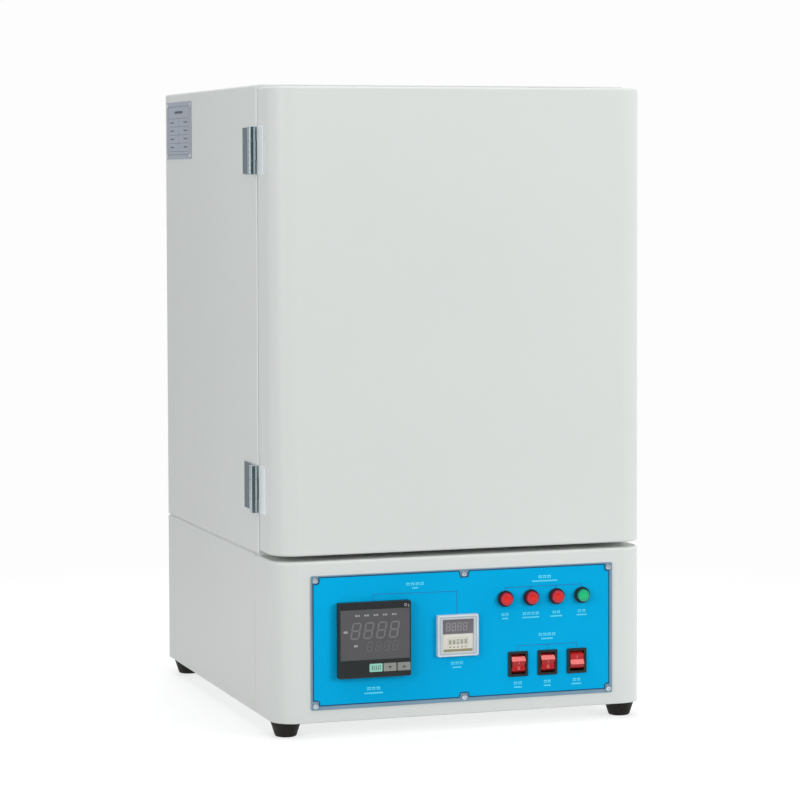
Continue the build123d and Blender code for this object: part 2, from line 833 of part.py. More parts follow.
# Two wire shelves that slide on the ledges
shelf_width = chamber_width - 2 * rack_plate - 2 * shelf_side_clearance
shelf_back_y = baffle_y - shelf_rear_clearance
shelf_center_y = shelf_back_y - shelf_depth / 2


def wire_shelf(level):
    """Wire shelf seated on the rack ledges of one level."""
    rod_z = ledge_z[level] + rack_plate / 2 + shelf_seat_gap + shelf_rod_radius
    half_x = shelf_width / 2 - shelf_rod_radius
    half_y = shelf_depth / 2 - shelf_rod_radius
    with BuildPart() as shelf:
        with BuildLine() as frame_line:
            FilletPolyline(
                (-half_x, shelf_center_y - half_y, rod_z),
                (half_x, shelf_center_y - half_y, rod_z),
                (half_x, shelf_center_y + half_y, rod_z),
                (-half_x, shelf_center_y + half_y, rod_z),
                radius=shelf_corner_radius,
                close=True,
            )
        with BuildSketch(Plane(origin=frame_line.line @ 0, z_dir=frame_line.line % 0)):
            Circle(shelf_rod_radius)
        sweep(path=frame_line.line)
        wire_pitch = 2 * (half_x - shelf_corner_radius) / (shelf_wire_count - 1)
        wires_at = [(i * wire_pitch - half_x + shelf_corner_radius, rod_z) for i in range(shelf_wire_count)]
        round_bar(shelf_wire_radius, wires_at, shelf_center_y - half_y, shelf_center_y + half_y)
        with BuildSketch(Plane.YZ.offset(-half_x)) as cross_bar:
            with Locations((shelf_center_y, rod_z)):
                Circle(shelf_wire_radius)
        extrude(cross_bar.sketch, amount=2 * half_x)
    return shelf


parts["lower_shelf"] = wire_shelf(lower_shelf_index)
parts["upper_shelf"] = wire_shelf(upper_shelf_index)

# Feet: tapered rubber cones with a stud into the base tray
feet_at = [
    (side * (right_x - foot_side_inset), y)
    for side in (-1, 1)
    for y in (front_y + foot_front_inset, rear_y - foot_rear_inset)
]
with BuildPart() as feet:
    with BuildSketch(Plane.XZ):
        with BuildLine():
            Polyline(
                (0, 0),
                (foot_bottom_radius, 0),
                (foot_top_radius, foot_height),
                (foot_stud_radius, foot_height),
                (foot_stud_radius, foot_height + foot_stud_length),
                (0, foot_height + foot_stud_length),
                close=True,
            )
        make_face()
        fillet(vertices().group_by(Axis.Y)[0].sort_by(Axis.X)[-1], foot_edge_radius)
    foot = revolve(axis=Axis.Z, mode=Mode.PRIVATE)
    with Locations(*feet_at):
        add(foot)
parts["feet"] = feet

# Base tray: the bottom pan that carries the feet, the covers and the electrical parts
with BuildPart() as base_tray:
    extrude(front_rounded_plan(sheet, rear_y - sheet, base_bottom_z), amount=tray_upstand)
    tray_inside = front_rounded_plan(2 * sheet, rear_y - 2 * sheet, base_bottom_z + tray_thickness)
    extrude(tray_inside, amount=tray_upstand, mode=Mode.SUBTRACT)
    with BuildSketch(Plane.XY.offset(base_bottom_z)):
        with Locations(*feet_at):
            Circle(foot_stud_radius + foot_stud_clearance)
    extrude(amount=tray_thickness, mode=Mode.SUBTRACT)
    round_bar(screw_hole_radius, panel_screws_at, front_y, front_y + 2 * sheet, Mode.SUBTRACT)
    round_bar(screw_hole_radius, base_screws_at, rear_y - 3 * sheet, rear_y, Mode.SUBTRACT)
parts["base_tray"] = base_tray

# Base front cover: front, round corners and ledge bent from one sheet, with the panel opening
cover_end_y = front_y + cover_wrap_depth
opening_width = panel_width - 2 * panel_opening_margin
opening_height = panel_height - 2 * panel_opening_margin
with BuildPart() as base_front_cover:
    extrude(front_rounded_plan(0, rear_y, base_bottom_z), amount=base_height)
    top_edges = faces().sort_by(Axis.Z)[-1].edges().filter_by_position(Axis.Y, front_y - 1, rear_y - 1)
    fillet(top_edges, ledge_bend_radius)
    low_edges = faces().sort_by(Axis.Z)[0].edges().filter_by_position(Axis.Y, front_y - 1, rear_y - 1)
    fillet(low_edges, cover_foot_radius)
    cover_inside = front_rounded_plan(sheet, rear_y - sheet, base_bottom_z)
    extrude(cover_inside, amount=base_height - sheet, mode=Mode.SUBTRACT)
    split(bisect_by=facing_front(cover_end_y), keep=Keep.TOP)
    slab(
        opening_width,
        opening_height,
        (0, panel_middle_z),
        front_y,
        front_y + sheet,
        panel_opening_radius,
        Mode.SUBTRACT,
    )
    round_bar(screw_hole_radius, panel_screws_at, front_y, front_y + sheet, Mode.SUBTRACT)
parts["base_front_cover"] = base_front_cover

# Base side panels: plain sheets behind the front cover, bent in at the top
side_front_y = cover_end_y + cover_gap
for side, name in ((-1, "base_side_left"), (1, "base_side_right")):
    with BuildPart() as base_side:
        with BuildSketch(facing_front(side_front_y)):
            with Locations((side * (right_x - sheet / 2), base_bottom_z + base_height / 2)):
                Rectangle(sheet, base_height)
            with Locations((side * (right_x - flange_width / 2), base_top_z - sheet / 2)):
                Rectangle(flange_width, sheet)
            outer_corner = vertices().group_by(Axis.Y)[-1].sort_by(Axis.X)[-1 if side > 0 else 0]
            fillet(outer_corner, sheet * 0.9)
            lower_corner = vertices().group_by(Axis.Y)[0].sort_by(Axis.X)[-1 if side > 0 else 0]
            fillet(lower_corner, cover_foot_radius)
        extrude(amount=-(rear_y - side_front_y))
    parts[name] = base_side

# Base rear cover, bent forward at the top, with air slots and the cable entry
with BuildPart() as base_rear_cover:
    rear_middle_z = (base_bottom_z + base_top_z - sheet) / 2
    slab(inner_width, base_height - sheet, (0, rear_middle_z), rear_y - sheet, rear_y)
    slab(
        cabinet_width - 2 * flange_width,
        sheet,
        (0, base_top_z - sheet / 2),
        rear_y - flange_width,
        rear_y,
    )
    gland_hole_radius = gland_thread_radius + gland_hole_clearance
    round_bar(gland_hole_radius, [(gland_x, gland_z)], rear_y - sheet, rear_y, Mode.SUBTRACT)
    round_bar(screw_hole_radius, base_screws_at, rear_y - sheet, rear_y, Mode.SUBTRACT)
    with BuildSketch(facing_front(rear_y - sheet)) as base_slots:
        with Locations((0, base_bottom_z + base_height / 2)):
            with GridLocations(vent_column_pitch, vent_slot_pitch, 2, vent_rows):
                SlotOverall(vent_slot_length, vent_slot_width)
    extrude(base_slots.sketch, amount=-sheet, mode=Mode.SUBTRACT)
parts["base_rear_cover"] = base_rear_cover

# Deck plate between the base and the upper cabinet, set in to leave a shadow line
with BuildPart() as deck_plate:
    with BuildSketch(Plane.XY.offset(base_top_z)):
        with Locations((0, (face_y + rear_y) / 2)):
            Rectangle(cabinet_width - 2 * deck_inset, body_depth - 2 * deck_inset)
    extrude(amount=deck_thickness)
parts["deck_plate"] = deck_plate


def pan_head_screws(centers, seat_y, facing):
    """Pan-head screws seated at y, with heads towards the front (-1) or the rear (1)."""
    head_y = seat_y + facing * screw_head_height
    shank_y = seat_y - facing * screw_shank_length
    with BuildPart() as screws:
        round_bar(screw_head_radius, centers, min(seat_y, head_y), max(seat_y, head_y))
        crown = faces().filter_by(Axis.Y).group_by(Axis.Y)[0 if facing < 0 else -1]
        fillet(crown.edges(), screw_head_height * 0.5)
        round_bar(screw_shank_radius, centers, min(seat_y, shank_y), max(seat_y, shank_y))
        slot_y = head_y - facing * screw_slot_depth
        with BuildSketch(facing_front(min(head_y, slot_y))) as slots:
            with Locations(*centers):
                Rectangle(screw_head_radius, screw_slot_width)
                Rectangle(screw_slot_width, screw_head_radius)
        extrude(slots.sketch, amount=-screw_slot_depth, mode=Mode.SUBTRACT)
    return screws


parts["panel_screws"] = pan_head_screws(panel_screws_at, panel_front_y, -1)
cover_screws = pan_head_screws(upper_screws_at + base_screws_at, rear_y, 1)
motor_screws = pan_head_screws(motor_screws_at, motor_front_y + motor_flange_thickness, 1)
with BuildPart() as rear_screws:
    add(cover_screws.part)
    add(motor_screws.part)
parts["rear_screws"] = rear_screws

# Cable gland in the base rear cover, with its lock nut inside
with BuildPart() as cable_gland:
    gland_at = [(gland_x, gland_z)]
    nut_front_y = rear_y - sheet - gland_nut_thickness
    round_bar(gland_thread_radius, gland_at, nut_front_y, rear_y)
    with BuildSketch(facing_front(nut_front_y)) as lock_nut:
        with Locations((gland_x, gland_z)):
            RegularPolygon(gland_flange_radius, 6)
    extrude(lock_nut.sketch, amount=-gland_nut_thickness)
    with BuildSketch(facing_front(rear_y)) as gland_hex:
        with Locations((gland_x, gland_z)):
            RegularPolygon(gland_flange_radius, 6)
    extrude(gland_hex.sketch, amount=-gland_flange_thickness)
    dome_y = rear_y + gland_flange_thickness
    round_bar(gland_dome_radius, gland_at, dome_y, dome_y + gland_dome_length)
    fillet(faces().sort_by(Axis.Y)[-1].edges(), gland_dome_radius * 0.4)
    round_bar(gland_bore_radius, gland_at, nut_front_y, dome_y + gland_dome_length, Mode.SUBTRACT)
parts["cable_gland"] = cable_gland

# Heat sink on the tray floor and the solid-state relay on top of it
tray_floor_z = base_bottom_z + tray_thickness
heatsink_x = right_x / 2
heatsink_y = rear_y - cabinet_depth / 4
heatsink_base_z = tray_floor_z + heatsink_fin_height
fin_pitch = (heatsink_length - heatsink_fin) / (heatsink_fin_count - 1)
with BuildPart() as relay_heatsink:
    with BuildSketch(Plane.XY.offset(heatsink_base_z)):
        with Locations((heatsink_x, heatsink_y)):
            Rectangle(heatsink_length, heatsink_width)
    extrude(amount=heatsink_base)
    with BuildSketch(Plane.XY.offset(tray_floor_z)):
        with Locations((heatsink_x, heatsink_y)):
            with GridLocations(fin_pitch, 0, heatsink_fin_count, 1):
                Rectangle(heatsink_fin, heatsink_width)
    extrude(amount=heatsink_fin_height)
parts["relay_heatsink"] = relay_heatsink

relay_bottom_z = heatsink_base_z + heatsink_base
with BuildPart() as solid_state_relay:
    with BuildSketch(Plane.XY.offset(relay_bottom_z)):
        with Locations((heatsink_x, heatsink_y)):
            RectangleRounded(relay_length, relay_width, relay_corner_radius)
    extrude(amount=relay_height)
    with BuildSketch(Plane.XY.offset(relay_bottom_z + relay_height)):
        with Locations((heatsink_x, heatsink_y)):
            with GridLocations(relay_length * 0.7, relay_width * 0.55, 2, 2):
                Circle(relay_terminal_radius)
    extrude(amount=relay_terminal_height)
parts["solid_state_relay"] = solid_state_relay

# Data plate on the left side, with its rivets
with BuildPart() as data_plate:
    with BuildSketch(Plane.YZ.offset(plate_x)):
        with Locations((plate_y, plate_z)):
            RectangleRounded(plate_length, plate_height, plate_corner_radius)
        with Locations(*rivets_at):
            Circle(rivet_shank_radius + rivet_hole_clearance, mode=Mode.SUBTRACT)
    extrude(amount=plate_thickness)
parts["data_plate"] = data_plate

with BuildPart() as data_plate_rivets:
    with BuildSketch(Plane.YZ.offset(plate_x - rivet_head_height)):
        with Locations(*rivets_at):
            Circle(rivet_head_radius)
    extrude(amount=rivet_head_height)
    fillet(faces().filter_by(Axis.X).group_by(Axis.X)[0].edges(), rivet_head_height * 0.7)
    with BuildSketch(Plane.YZ.offset(plate_x)):
        with Locations(*rivets_at):
            Circle(rivet_shank_radius)
    extrude(amount=plate_thickness + sheet)
parts["data_plate_rivets"] = data_plate_rivets

# Control panel plate with the cut-outs of everything that it carries
with BuildPart() as control_panel:
    slab(panel_width, panel_height, (0, panel_middle_z), panel_front_y, front_y, panel_corner_radius)
    panel_cuts = [
        (controller_case_size, controller_case_size, controller_x, controller_z),
        (timer_face_size, timer_face_size, timer_x, timer_z),
    ] + [(switch_body_width, switch_body_height, x, switch_z) for x in switch_x]
    for cut_width, cut_height, x, z in panel_cuts:
        slab(
            cut_width + 2 * control_clearance,
            cut_height + 2 * control_clearance,
            (x, z),
            panel_front_y,
            front_y,
            mode=Mode.SUBTRACT,
        )
    lamps_at = [(x, lamp_z) for x in lamp_x]
    round_bar(lamp_body_radius + control_clearance, lamps_at, panel_front_y, front_y, Mode.SUBTRACT)
    round_bar(screw_hole_radius, panel_screws_at, panel_front_y, front_y, Mode.SUBTRACT)
parts["control_panel"] = control_panel

# Temperature controller: bezel and case, window and three keys
window_y = controller_front_y + window_recess
key_pocket_y = controller_front_y + key_thickness - key_stand + key_travel + key_clearance
with BuildPart() as controller_case:
    slab(
        controller_size,
        controller_size,
        (controller_x, controller_z),
        controller_front_y,
        panel_front_y,
        controller_corner_radius,
    )
    fillet(faces().sort_by(Axis.Y)[0].edges(), controller_edge_radius)
    slab(
        controller_case_size,
        controller_case_size,
        (controller_x, controller_z),
        panel_front_y,
        panel_front_y + controller_case_depth,
    )
    slab(
        window_width,
        window_height,
        (controller_x, window_z),
        controller_front_y,
        window_y + window_thickness,
        mode=Mode.SUBTRACT,
    )
    for x in key_x:
        slab(
            key_width + 2 * key_clearance,
            key_height + 2 * key_clearance,
            (x, key_z),
            controller_front_y,
            key_pocket_y,
            key_corner_radius,
            Mode.SUBTRACT,
        )
parts["controller_case"] = controller_case

with BuildPart() as controller_window:
    slab(window_width, window_height, (controller_x, window_z), window_y, window_y + window_thickness)
parts["controller_window"] = controller_window

key_front_y = controller_front_y - key_stand
for name, x in zip(("controller_key_left", "controller_key_middle", "controller_key_right"), key_x):
    with BuildPart() as controller_key:
        slab(
            key_width,
            key_height,
            (x, key_z),
            key_front_y,
            key_front_y + key_thickness,
            key_corner_radius,
        )
        fillet(faces().sort_by(Axis.Y)[0].edges(), key_edge_radius)
    parts[name] = controller_key

# Digital timer: frame, body with the display recess and wheel slots, and five thumbwheels
with BuildPart() as timer_frame:
    slab(
        timer_width,
        timer_height,
        (timer_x, timer_z),
        panel_front_y - timer_stand,
        panel_front_y,
        timer_corner_radius,
    )
    fillet(faces().sort_by(Axis.Y)[0].edges(), timer_rim_radius)
    slab(
        timer_face_size,
        timer_face_size,
        (timer_x, timer_z),
        panel_front_y - timer_stand,
        panel_front_y,
        mode=Mode.SUBTRACT,
    )
parts["timer_frame"] = timer_frame

wheel_slot = wheel_width + 2 * wheel_side_clearance
with BuildPart() as timer_body:
    slab(timer_face_size, timer_face_size, (timer_x, timer_z), timer_face_y, timer_face_y + timer_depth)
    slab(
        timer_display_width,
        timer_display_height,
        (timer_x, timer_z + timer_display_lift),
        timer_face_y,
        timer_face_y + timer_display_depth,
        timer_display_radius,
        Mode.SUBTRACT,
    )
    for x in wheel_x:
        with BuildSketch(Plane.YZ.offset(x - wheel_slot / 2)) as wheel_cavity:
            with Locations((wheel_y, wheel_z)):
                Circle(wheel_radius + wheel_side_clearance)
        extrude(wheel_cavity.sketch, amount=wheel_slot, mode=Mode.SUBTRACT)
    with BuildSketch(Plane.YZ.offset(timer_x - timer_face_size / 2)) as axle:
        with Locations((wheel_y, wheel_z)):
            Circle(wheel_axle_radius)
    extrude(axle.sketch, amount=timer_face_size)
parts["timer_body"] = timer_body

for number, x in enumerate(wheel_x, 1):
    with BuildPart() as timer_wheel:
        with BuildSketch(Plane.YZ.offset(x - wheel_width / 2)):
            with Locations((wheel_y, wheel_z)):
                Circle(wheel_radius)
                with PolarLocations(wheel_radius, wheel_digits, start_angle=180 / wheel_digits):
                    Rectangle(2 * wheel_groove_depth, wheel_groove_width, mode=Mode.SUBTRACT)
                Circle(wheel_axle_radius + wheel_running_fit, mode=Mode.SUBTRACT)
        extrude(amount=wheel_width)
    parts[f"timer_wheel_{number}"] = timer_wheel

# Indicator lamps: bezels with their bodies, three red lenses and a green one
with BuildPart() as lamp_bezels:
    round_bar(lamp_bezel_radius, lamps_at, panel_front_y - lamp_bezel_stand, panel_front_y)
    chamfer(faces().filter_by(Axis.Y).group_by(Axis.Y)[0].edges(), lamp_bezel_chamfer)
    round_bar(lamp_body_radius, lamps_at, panel_front_y, panel_front_y + lamp_body_depth)
    round_bar(
        lamp_bore_radius,
        lamps_at,
        panel_front_y - lamp_bezel_stand,
        panel_front_y + lamp_lens_seat,
        Mode.SUBTRACT,
    )
parts["lamp_bezels"] = lamp_bezels


def lamp_lenses(centers):
    """Cylindrical lenses with a round edge, seated in the lamp bores."""
    with BuildPart() as lenses:
        round_bar(
            lamp_lens_radius, centers, panel_front_y - lamp_lens_stand, panel_front_y + lamp_lens_seat
        )
        fillet(faces().filter_by(Axis.Y).group_by(Axis.Y)[0].edges(), lamp_lens_edge)
    return lenses


parts["red_lamp_lenses"] = lamp_lenses(lamps_at[:-1])
parts["green_lamp_lens"] = lamp_lenses(lamps_at[-1:])

# Rocker switches: housings with their pivot pins, and a rocker in each
rim_reach = rocker_pivot_depth + switch_bezel_stand
swept_half = rocker_half_length * cos(radians(rocker_tilt)) + rim_reach * sin(radians(rocker_tilt))
switch_opening_height = 2 * (swept_half + rocker_end_clearance)
rocker_pocket_y = rocker_pivot_y + rocker_skirt_depth + rocker_pocket_clearance
with BuildPart() as switch_housings:
    for x in switch_x:
        slab(
            switch_width,
            switch_height,
            (x, switch_z),
            panel_front_y - switch_bezel_stand,
            panel_front_y,
            switch_bezel_radius,
        )
    chamfer(faces().filter_by(Axis.Y).group_by(Axis.Y)[0].edges(), switch_bezel_chamfer)
    for x in switch_x:
        slab(
            switch_body_width,
            switch_body_height,
            (x, switch_z),
            panel_front_y,
            panel_front_y + switch_body_depth,
        )
        slab(
            switch_opening_width,
            switch_opening_height,
            (x, switch_z),
            panel_front_y - switch_bezel_stand,
            rocker_pocket_y,
            mode=Mode.SUBTRACT,
        )
        with BuildSketch(Plane.YZ.offset(x - switch_body_width / 2)) as pivot_pin:
            with Locations((rocker_pivot_y, switch_z)):
                Circle(rocker_pin_radius)
        extrude(pivot_pin.sketch, amount=switch_body_width)
parts["switch_housings"] = switch_housings

rocker_center = rim_reach + rocker_center_stand
rocker_end = rocker_center + rocker_half_length * sin(radians(rocker_tilt)) / cos(radians(rocker_tilt))
rocker_states = (
    ("rocker_left", rocker_tilt),
    ("rocker_middle", rocker_tilt),
    ("rocker_right", -rocker_tilt),
)
for (name, tilt), x in zip(rocker_states, switch_x):
    outward = (0, -cos(radians(tilt)), -sin(radians(tilt)))
    rocker_plane = Plane(
        origin=(x - rocker_width / 2, rocker_pivot_y, switch_z), x_dir=outward, z_dir=(1, 0, 0)
    )
    with BuildPart() as rocker:
        with BuildSketch(rocker_plane) as rocker_profile:
            with BuildLine():
                Polyline(
                    (-rocker_skirt_depth, -rocker_half_length),
                    (rocker_end - rocker_slope_depth, -rocker_half_length),
                    (rocker_end, rocker_slope_height - rocker_half_length),
                    (rocker_center, 0),
                    (rocker_end, rocker_half_length - rocker_slope_height),
                    (rocker_end - rocker_slope_depth, rocker_half_length),
                    (-rocker_skirt_depth, rocker_half_length),
                    close=True,
                )
            make_face()
            fillet(vertices().group_by(Axis.X)[-1], rocker_edge_radius)
            Circle(rocker_pin_radius + rocker_pin_fit, mode=Mode.SUBTRACT)
        extrude(rocker_profile.sketch, amount=rocker_width)
    parts[name] = rocker


def hinge_leaf(centers, direction, reach, knuckles):
    """Hinge leaves on the left side, reaching back (1) or forward (-1) from the pin line."""
    with BuildPart() as leaf:
        near_y = hinge_y + direction * (barrel_radius + barrel_set_back)
        far_y = hinge_y + direction * reach
        for center_z in centers:
            with BuildSketch(Plane.XY.offset(center_z - hinge_height / 2)) as leaf_plan:
                with Locations((left_x - hinge_leaf_thickness / 2, (near_y + far_y) / 2)):
                    Rectangle(hinge_leaf_thickness, abs(far_y - near_y))
            extrude(leaf_plan.sketch, amount=hinge_height)
        outer_faces = faces().filter_by(Axis.X).group_by(Axis.X)[0]
        fillet(outer_faces.edges(), hinge_leaf_edge_radius)
        bridge_y = near_y + direction * hinge_leaf_edge_radius
        for center_z in centers:
            for low, high in knuckles:
                with BuildSketch(Plane.XY.offset(center_z + low)) as knuckle:
                    with Locations((hinge_x, hinge_y)):
                        Circle(barrel_radius)
                    with Locations((left_x - hinge_leaf_thickness / 2, (hinge_y + bridge_y) / 2)):
                        Rectangle(hinge_leaf_thickness, abs(bridge_y - hinge_y))
                    with Locations((hinge_x, hinge_y)):
                        Circle(hinge_pin_radius + hinge_pin_fit, mode=Mode.SUBTRACT)
                extrude(knuckle.sketch, amount=high - low)
    return leaf


# Hinges: body leaves with the outer knuckles, door leaves with the middle one, and the pins
half_hinge = hinge_height / 2
half_middle = knuckle_middle / 2
body_knuckles = ((-half_hinge, -half_middle - knuckle_gap), (half_middle + knuckle_gap, half_hinge))
parts["hinge_body_leaves"] = hinge_leaf(hinge_centers, 1, hinge_body_reach, body_knuckles)
parts["hinge_door_leaves"] = hinge_leaf(hinge_centers, -1, hinge_door_reach, ((-half_middle, half_middle),))
with BuildPart() as hinge_pins:
    for center_z in hinge_centers:
        with BuildSketch(Plane.XY.offset(center_z - half_hinge)) as pin_plan:
            with Locations((hinge_x, hinge_y)):
                Circle(hinge_pin_radius)
        extrude(pin_plan.sketch, amount=hinge_height)
parts["hinge_pins"] = hinge_pins

# Door shell: one bent sheet with round front corners, open at the back inside its return
with BuildPart() as door_shell:
    extrude(front_rounded_plan(0, door_back_y, door_bottom_z), amount=door_height)
    for end in (0, -1):
        end_edges = faces().sort_by(Axis.Z)[end].edges()
        fillet(end_edges.filter_by_position(Axis.Y, front_y - 1, door_back_y - 1), door_edge_radius)
    shell_inside = front_rounded_plan(sheet, door_back_y - sheet, door_bottom_z + sheet)
    extrude(shell_inside, amount=door_height - 2 * sheet, mode=Mode.SUBTRACT)
    slab(
        cabinet_width - 2 * door_return_width,
        door_height - 2 * door_return_width,
        (0, door_middle_z),
        door_back_y - sheet,
        door_back_y,
        door_opening_radius,
        Mode.SUBTRACT,
    )
parts["door_shell"] = door_shell

# Inner panel of the door: a pan with a plug that enters the chamber mouth
door_inner_width = inner_width
door_inner_height = door_height - 2 * sheet
panel_back_y = door_back_y - door_panel_recess
plug_back_y = door_back_y + plug_depth
with BuildPart() as door_inner_panel:
    slab(door_inner_width, door_inner_height, (0, door_middle_z), door_panel_y, door_back_y - sheet)
    slab(
        door_inner_width - 2 * door_panel_thickness,
        door_inner_height - 2 * door_panel_thickness,
        (0, door_middle_z),
        panel_back_y,
        door_back_y - sheet,
        mode=Mode.SUBTRACT,
    )
    slab(plug_width, plug_height, (0, chamber_z), panel_back_y, plug_back_y, plug_corner_radius)
    fillet(faces().sort_by(Axis.Y)[-1].edges(), plug_edge_radius)
    slab(
        plug_width - 2 * door_panel_thickness,
        plug_height - 2 * door_panel_thickness,
        (0, chamber_z),
        door_panel_y,
        plug_back_y - door_panel_thickness - plug_edge_radius,
        plug_corner_radius - door_panel_thickness,
        Mode.SUBTRACT,
    )
parts["door_inner_panel"] = door_inner_panel

# Mineral wool inside the door and its plug
with BuildPart() as door_insulation:
    wool_inset = sheet + insulation_gap
    door_wool = front_rounded_plan(wool_inset, door_panel_y - insulation_gap, door_bottom_z + wool_inset)
    extrude(door_wool, amount=door_height - 2 * wool_inset)
    plug_inset = door_panel_thickness + insulation_gap
    slab(
        plug_width - 2 * plug_inset,
        plug_height - 2 * plug_inset,
        (0, chamber_z),
        door_panel_y - insulation_gap,
        plug_back_y - plug_inset - plug_edge_radius,
        plug_corner_radius - plug_inset,
    )
parts["door_insulation"] = door_insulation

# Silicone gasket round the plug, meeting the liner flange
gasket_back_y = face_y - liner_thickness - gasket_seal_gap
with BuildPart() as door_gasket:
    slab(
        plug_width + 2 * (gasket_land + gasket_width),
        plug_height + 2 * (gasket_land + gasket_width),
        (0, chamber_z),
        panel_back_y,
        gasket_back_y,
        plug_corner_radius + gasket_land + gasket_width,
    )
    slab(
        plug_width + 2 * gasket_land,
        plug_height + 2 * gasket_land,
        (0, chamber_z),
        panel_back_y,
        gasket_back_y,
        plug_corner_radius + gasket_land,
        Mode.SUBTRACT,
    )
    fillet(faces().sort_by(Axis.Y)[-1].edges(), gasket_edge_radius)
parts["door_gasket"] = door_gasket

# Edge pull on the right side of the door: a plate with a lip to hook the fingers behind
pull_back_y = door_back_y - pull_rear_inset
with BuildPart() as door_pull:
    with BuildSketch(Plane.XY.offset(door_middle_z - pull_height / 2)):
        with Locations((right_x + pull_base_thickness / 2, pull_back_y - pull_base_depth / 2)):
            Rectangle(pull_base_thickness, pull_base_depth)
        with Locations((right_x + pull_stand / 2, pull_back_y - pull_lip_thickness / 2)):
            Rectangle(pull_stand, pull_lip_thickness)
        fillet(vertices().sort_by(Axis.X)[-2:], pull_lip_thickness * 0.4)
    extrude(amount=pull_height)
parts["door_pull"] = door_pull

os.makedirs("parts", exist_ok=True)
for name, piece in parts.items():
    piece.part.label = name
    export_step(piece.part, f"parts/{name}.step")
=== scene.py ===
import math

import bmesh
import bpy
from mathutils import Matrix, Vector


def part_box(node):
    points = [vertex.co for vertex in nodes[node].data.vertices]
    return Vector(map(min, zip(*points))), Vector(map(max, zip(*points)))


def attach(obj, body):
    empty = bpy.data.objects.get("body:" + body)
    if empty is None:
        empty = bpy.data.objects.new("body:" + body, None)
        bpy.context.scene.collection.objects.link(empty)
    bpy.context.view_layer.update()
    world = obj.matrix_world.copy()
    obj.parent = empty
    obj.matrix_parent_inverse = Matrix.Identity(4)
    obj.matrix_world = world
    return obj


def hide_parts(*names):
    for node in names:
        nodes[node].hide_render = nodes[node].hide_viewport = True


# Laboratory drying oven. All places are in metres in the frame of the CAD model.

MM = 0.001

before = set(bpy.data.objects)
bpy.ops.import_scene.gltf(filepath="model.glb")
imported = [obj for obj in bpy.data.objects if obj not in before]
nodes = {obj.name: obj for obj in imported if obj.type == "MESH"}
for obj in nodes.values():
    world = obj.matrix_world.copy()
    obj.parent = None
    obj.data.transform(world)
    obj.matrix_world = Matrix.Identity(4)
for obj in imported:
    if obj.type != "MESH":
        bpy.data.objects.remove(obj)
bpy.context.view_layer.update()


def linear(red, green, blue):
    """Linear colour of a screen colour given from 0 to 255."""
    return tuple(
        c / 255 / 12.92 if c <= 10 else ((c / 255 + 0.055) / 1.055) ** 2.4 for c in (red, green, blue)
    )


# Materials


class Finish:
    """A material on a Principled shader, with calls that add procedural detail to it."""

    def __init__(self, name, color, roughness=0.5, metallic=0.0, **values):
        self.material = bpy.data.materials.new(name)
        self.material.use_nodes = True
        self.tree = self.material.node_tree
        self.shader = self.tree.nodes["Principled BSDF"]
        self.color = color
        self.shader.inputs["Base Color"].default_value = (*color, 1)
        self.shader.inputs["Roughness"].default_value = roughness
        self.shader.inputs["Metallic"].default_value = metallic
        for key, value in values.items():
            self.shader.inputs[key.replace("_", " ")].default_value = value

    def node(self, kind, **settings):
        made = self.tree.nodes.new(kind)
        for key, value in settings.items():
            setattr(made, key, value)
        return made

    def link(self, source, target):
        self.tree.links.new(source, target)

    def place(self, stretch=(1, 1, 1)):
        """Position in the object's own frame, scaled along each axis."""
        coordinates = self.node("ShaderNodeTexCoord")
        mapping = self.node("ShaderNodeMapping")
        mapping.inputs["Scale"].default_value = stretch
        self.link(coordinates.outputs["Object"], mapping.inputs["Vector"])
        return mapping.outputs["Vector"]

    def noise(self, scale, detail=3.0, stretch=(1, 1, 1)):
        made = self.node("ShaderNodeTexNoise")
        made.inputs["Scale"].default_value = scale
        made.inputs["Detail"].default_value = detail
        self.link(self.place(stretch), made.inputs["Vector"])
        return made.outputs["Fac"]

    def tint(self, source, share, low=0.35, high=0.65):
        """Colour that runs from darker to lighter by the share, as the source goes from low to high."""
        ramp = self.node("ShaderNodeValToRGB")
        ramp.color_ramp.elements[0].position = low
        ramp.color_ramp.elements[1].position = high
        ramp.color_ramp.elements[0].color = (*[c * (1 - share) for c in self.color], 1)
        ramp.color_ramp.elements[1].color = (*[min(1, c * (1 + share)) for c in self.color], 1)
        self.link(source, ramp.inputs["Fac"])
        self.link(ramp.outputs["Color"], self.shader.inputs["Base Color"])
        return self

    def vary(self, socket, source, low_value, high_value, low=0.0, high=1.0):
        """Shader value that runs between two values, as the source goes from low to high."""
        span = self.node("ShaderNodeMapRange")
        span.inputs["From Min"].default_value = low
        span.inputs["From Max"].default_value = high
        span.inputs["To Min"].default_value = low_value
        span.inputs["To Max"].default_value = high_value
        self.link(source, span.inputs["Value"])
        self.link(span.outputs["Result"], self.shader.inputs[socket])

    def gloss(self, source, smooth, rough):
        """Roughness that runs between two values with the source."""
        self.vary("Roughness", source, smooth, rough, 0.3, 0.7)
        return self

    def bump(self, source, height, strength=1.0):
        made = self.node("ShaderNodeBump")
        made.inputs["Distance"].default_value = height
        made.inputs["Strength"].default_value = strength
        self.link(source, made.inputs["Height"])
        self.link(made.outputs["Normal"], self.shader.inputs["Normal"])
        return self


def powder_coat(name, color, roughness):
    made = Finish(name, color, roughness)
    made.tint(made.noise(2.2, 2), 0.012)
    made.gloss(made.noise(60, 3), roughness - 0.03, roughness + 0.04)
    return made.bump(made.noise(520, 2), 0.00005, 0.35)


def brushed_metal(name, color, smooth, rough, stretch):
    made = Finish(name, color, rough, metallic=1.0)
    streaks = made.noise(40, 4, stretch)
    made.tint(streaks, 0.05)
    made.gloss(streaks, smooth, rough)
    return made.bump(made.noise(90, 3, stretch), 0.00003, 0.4)


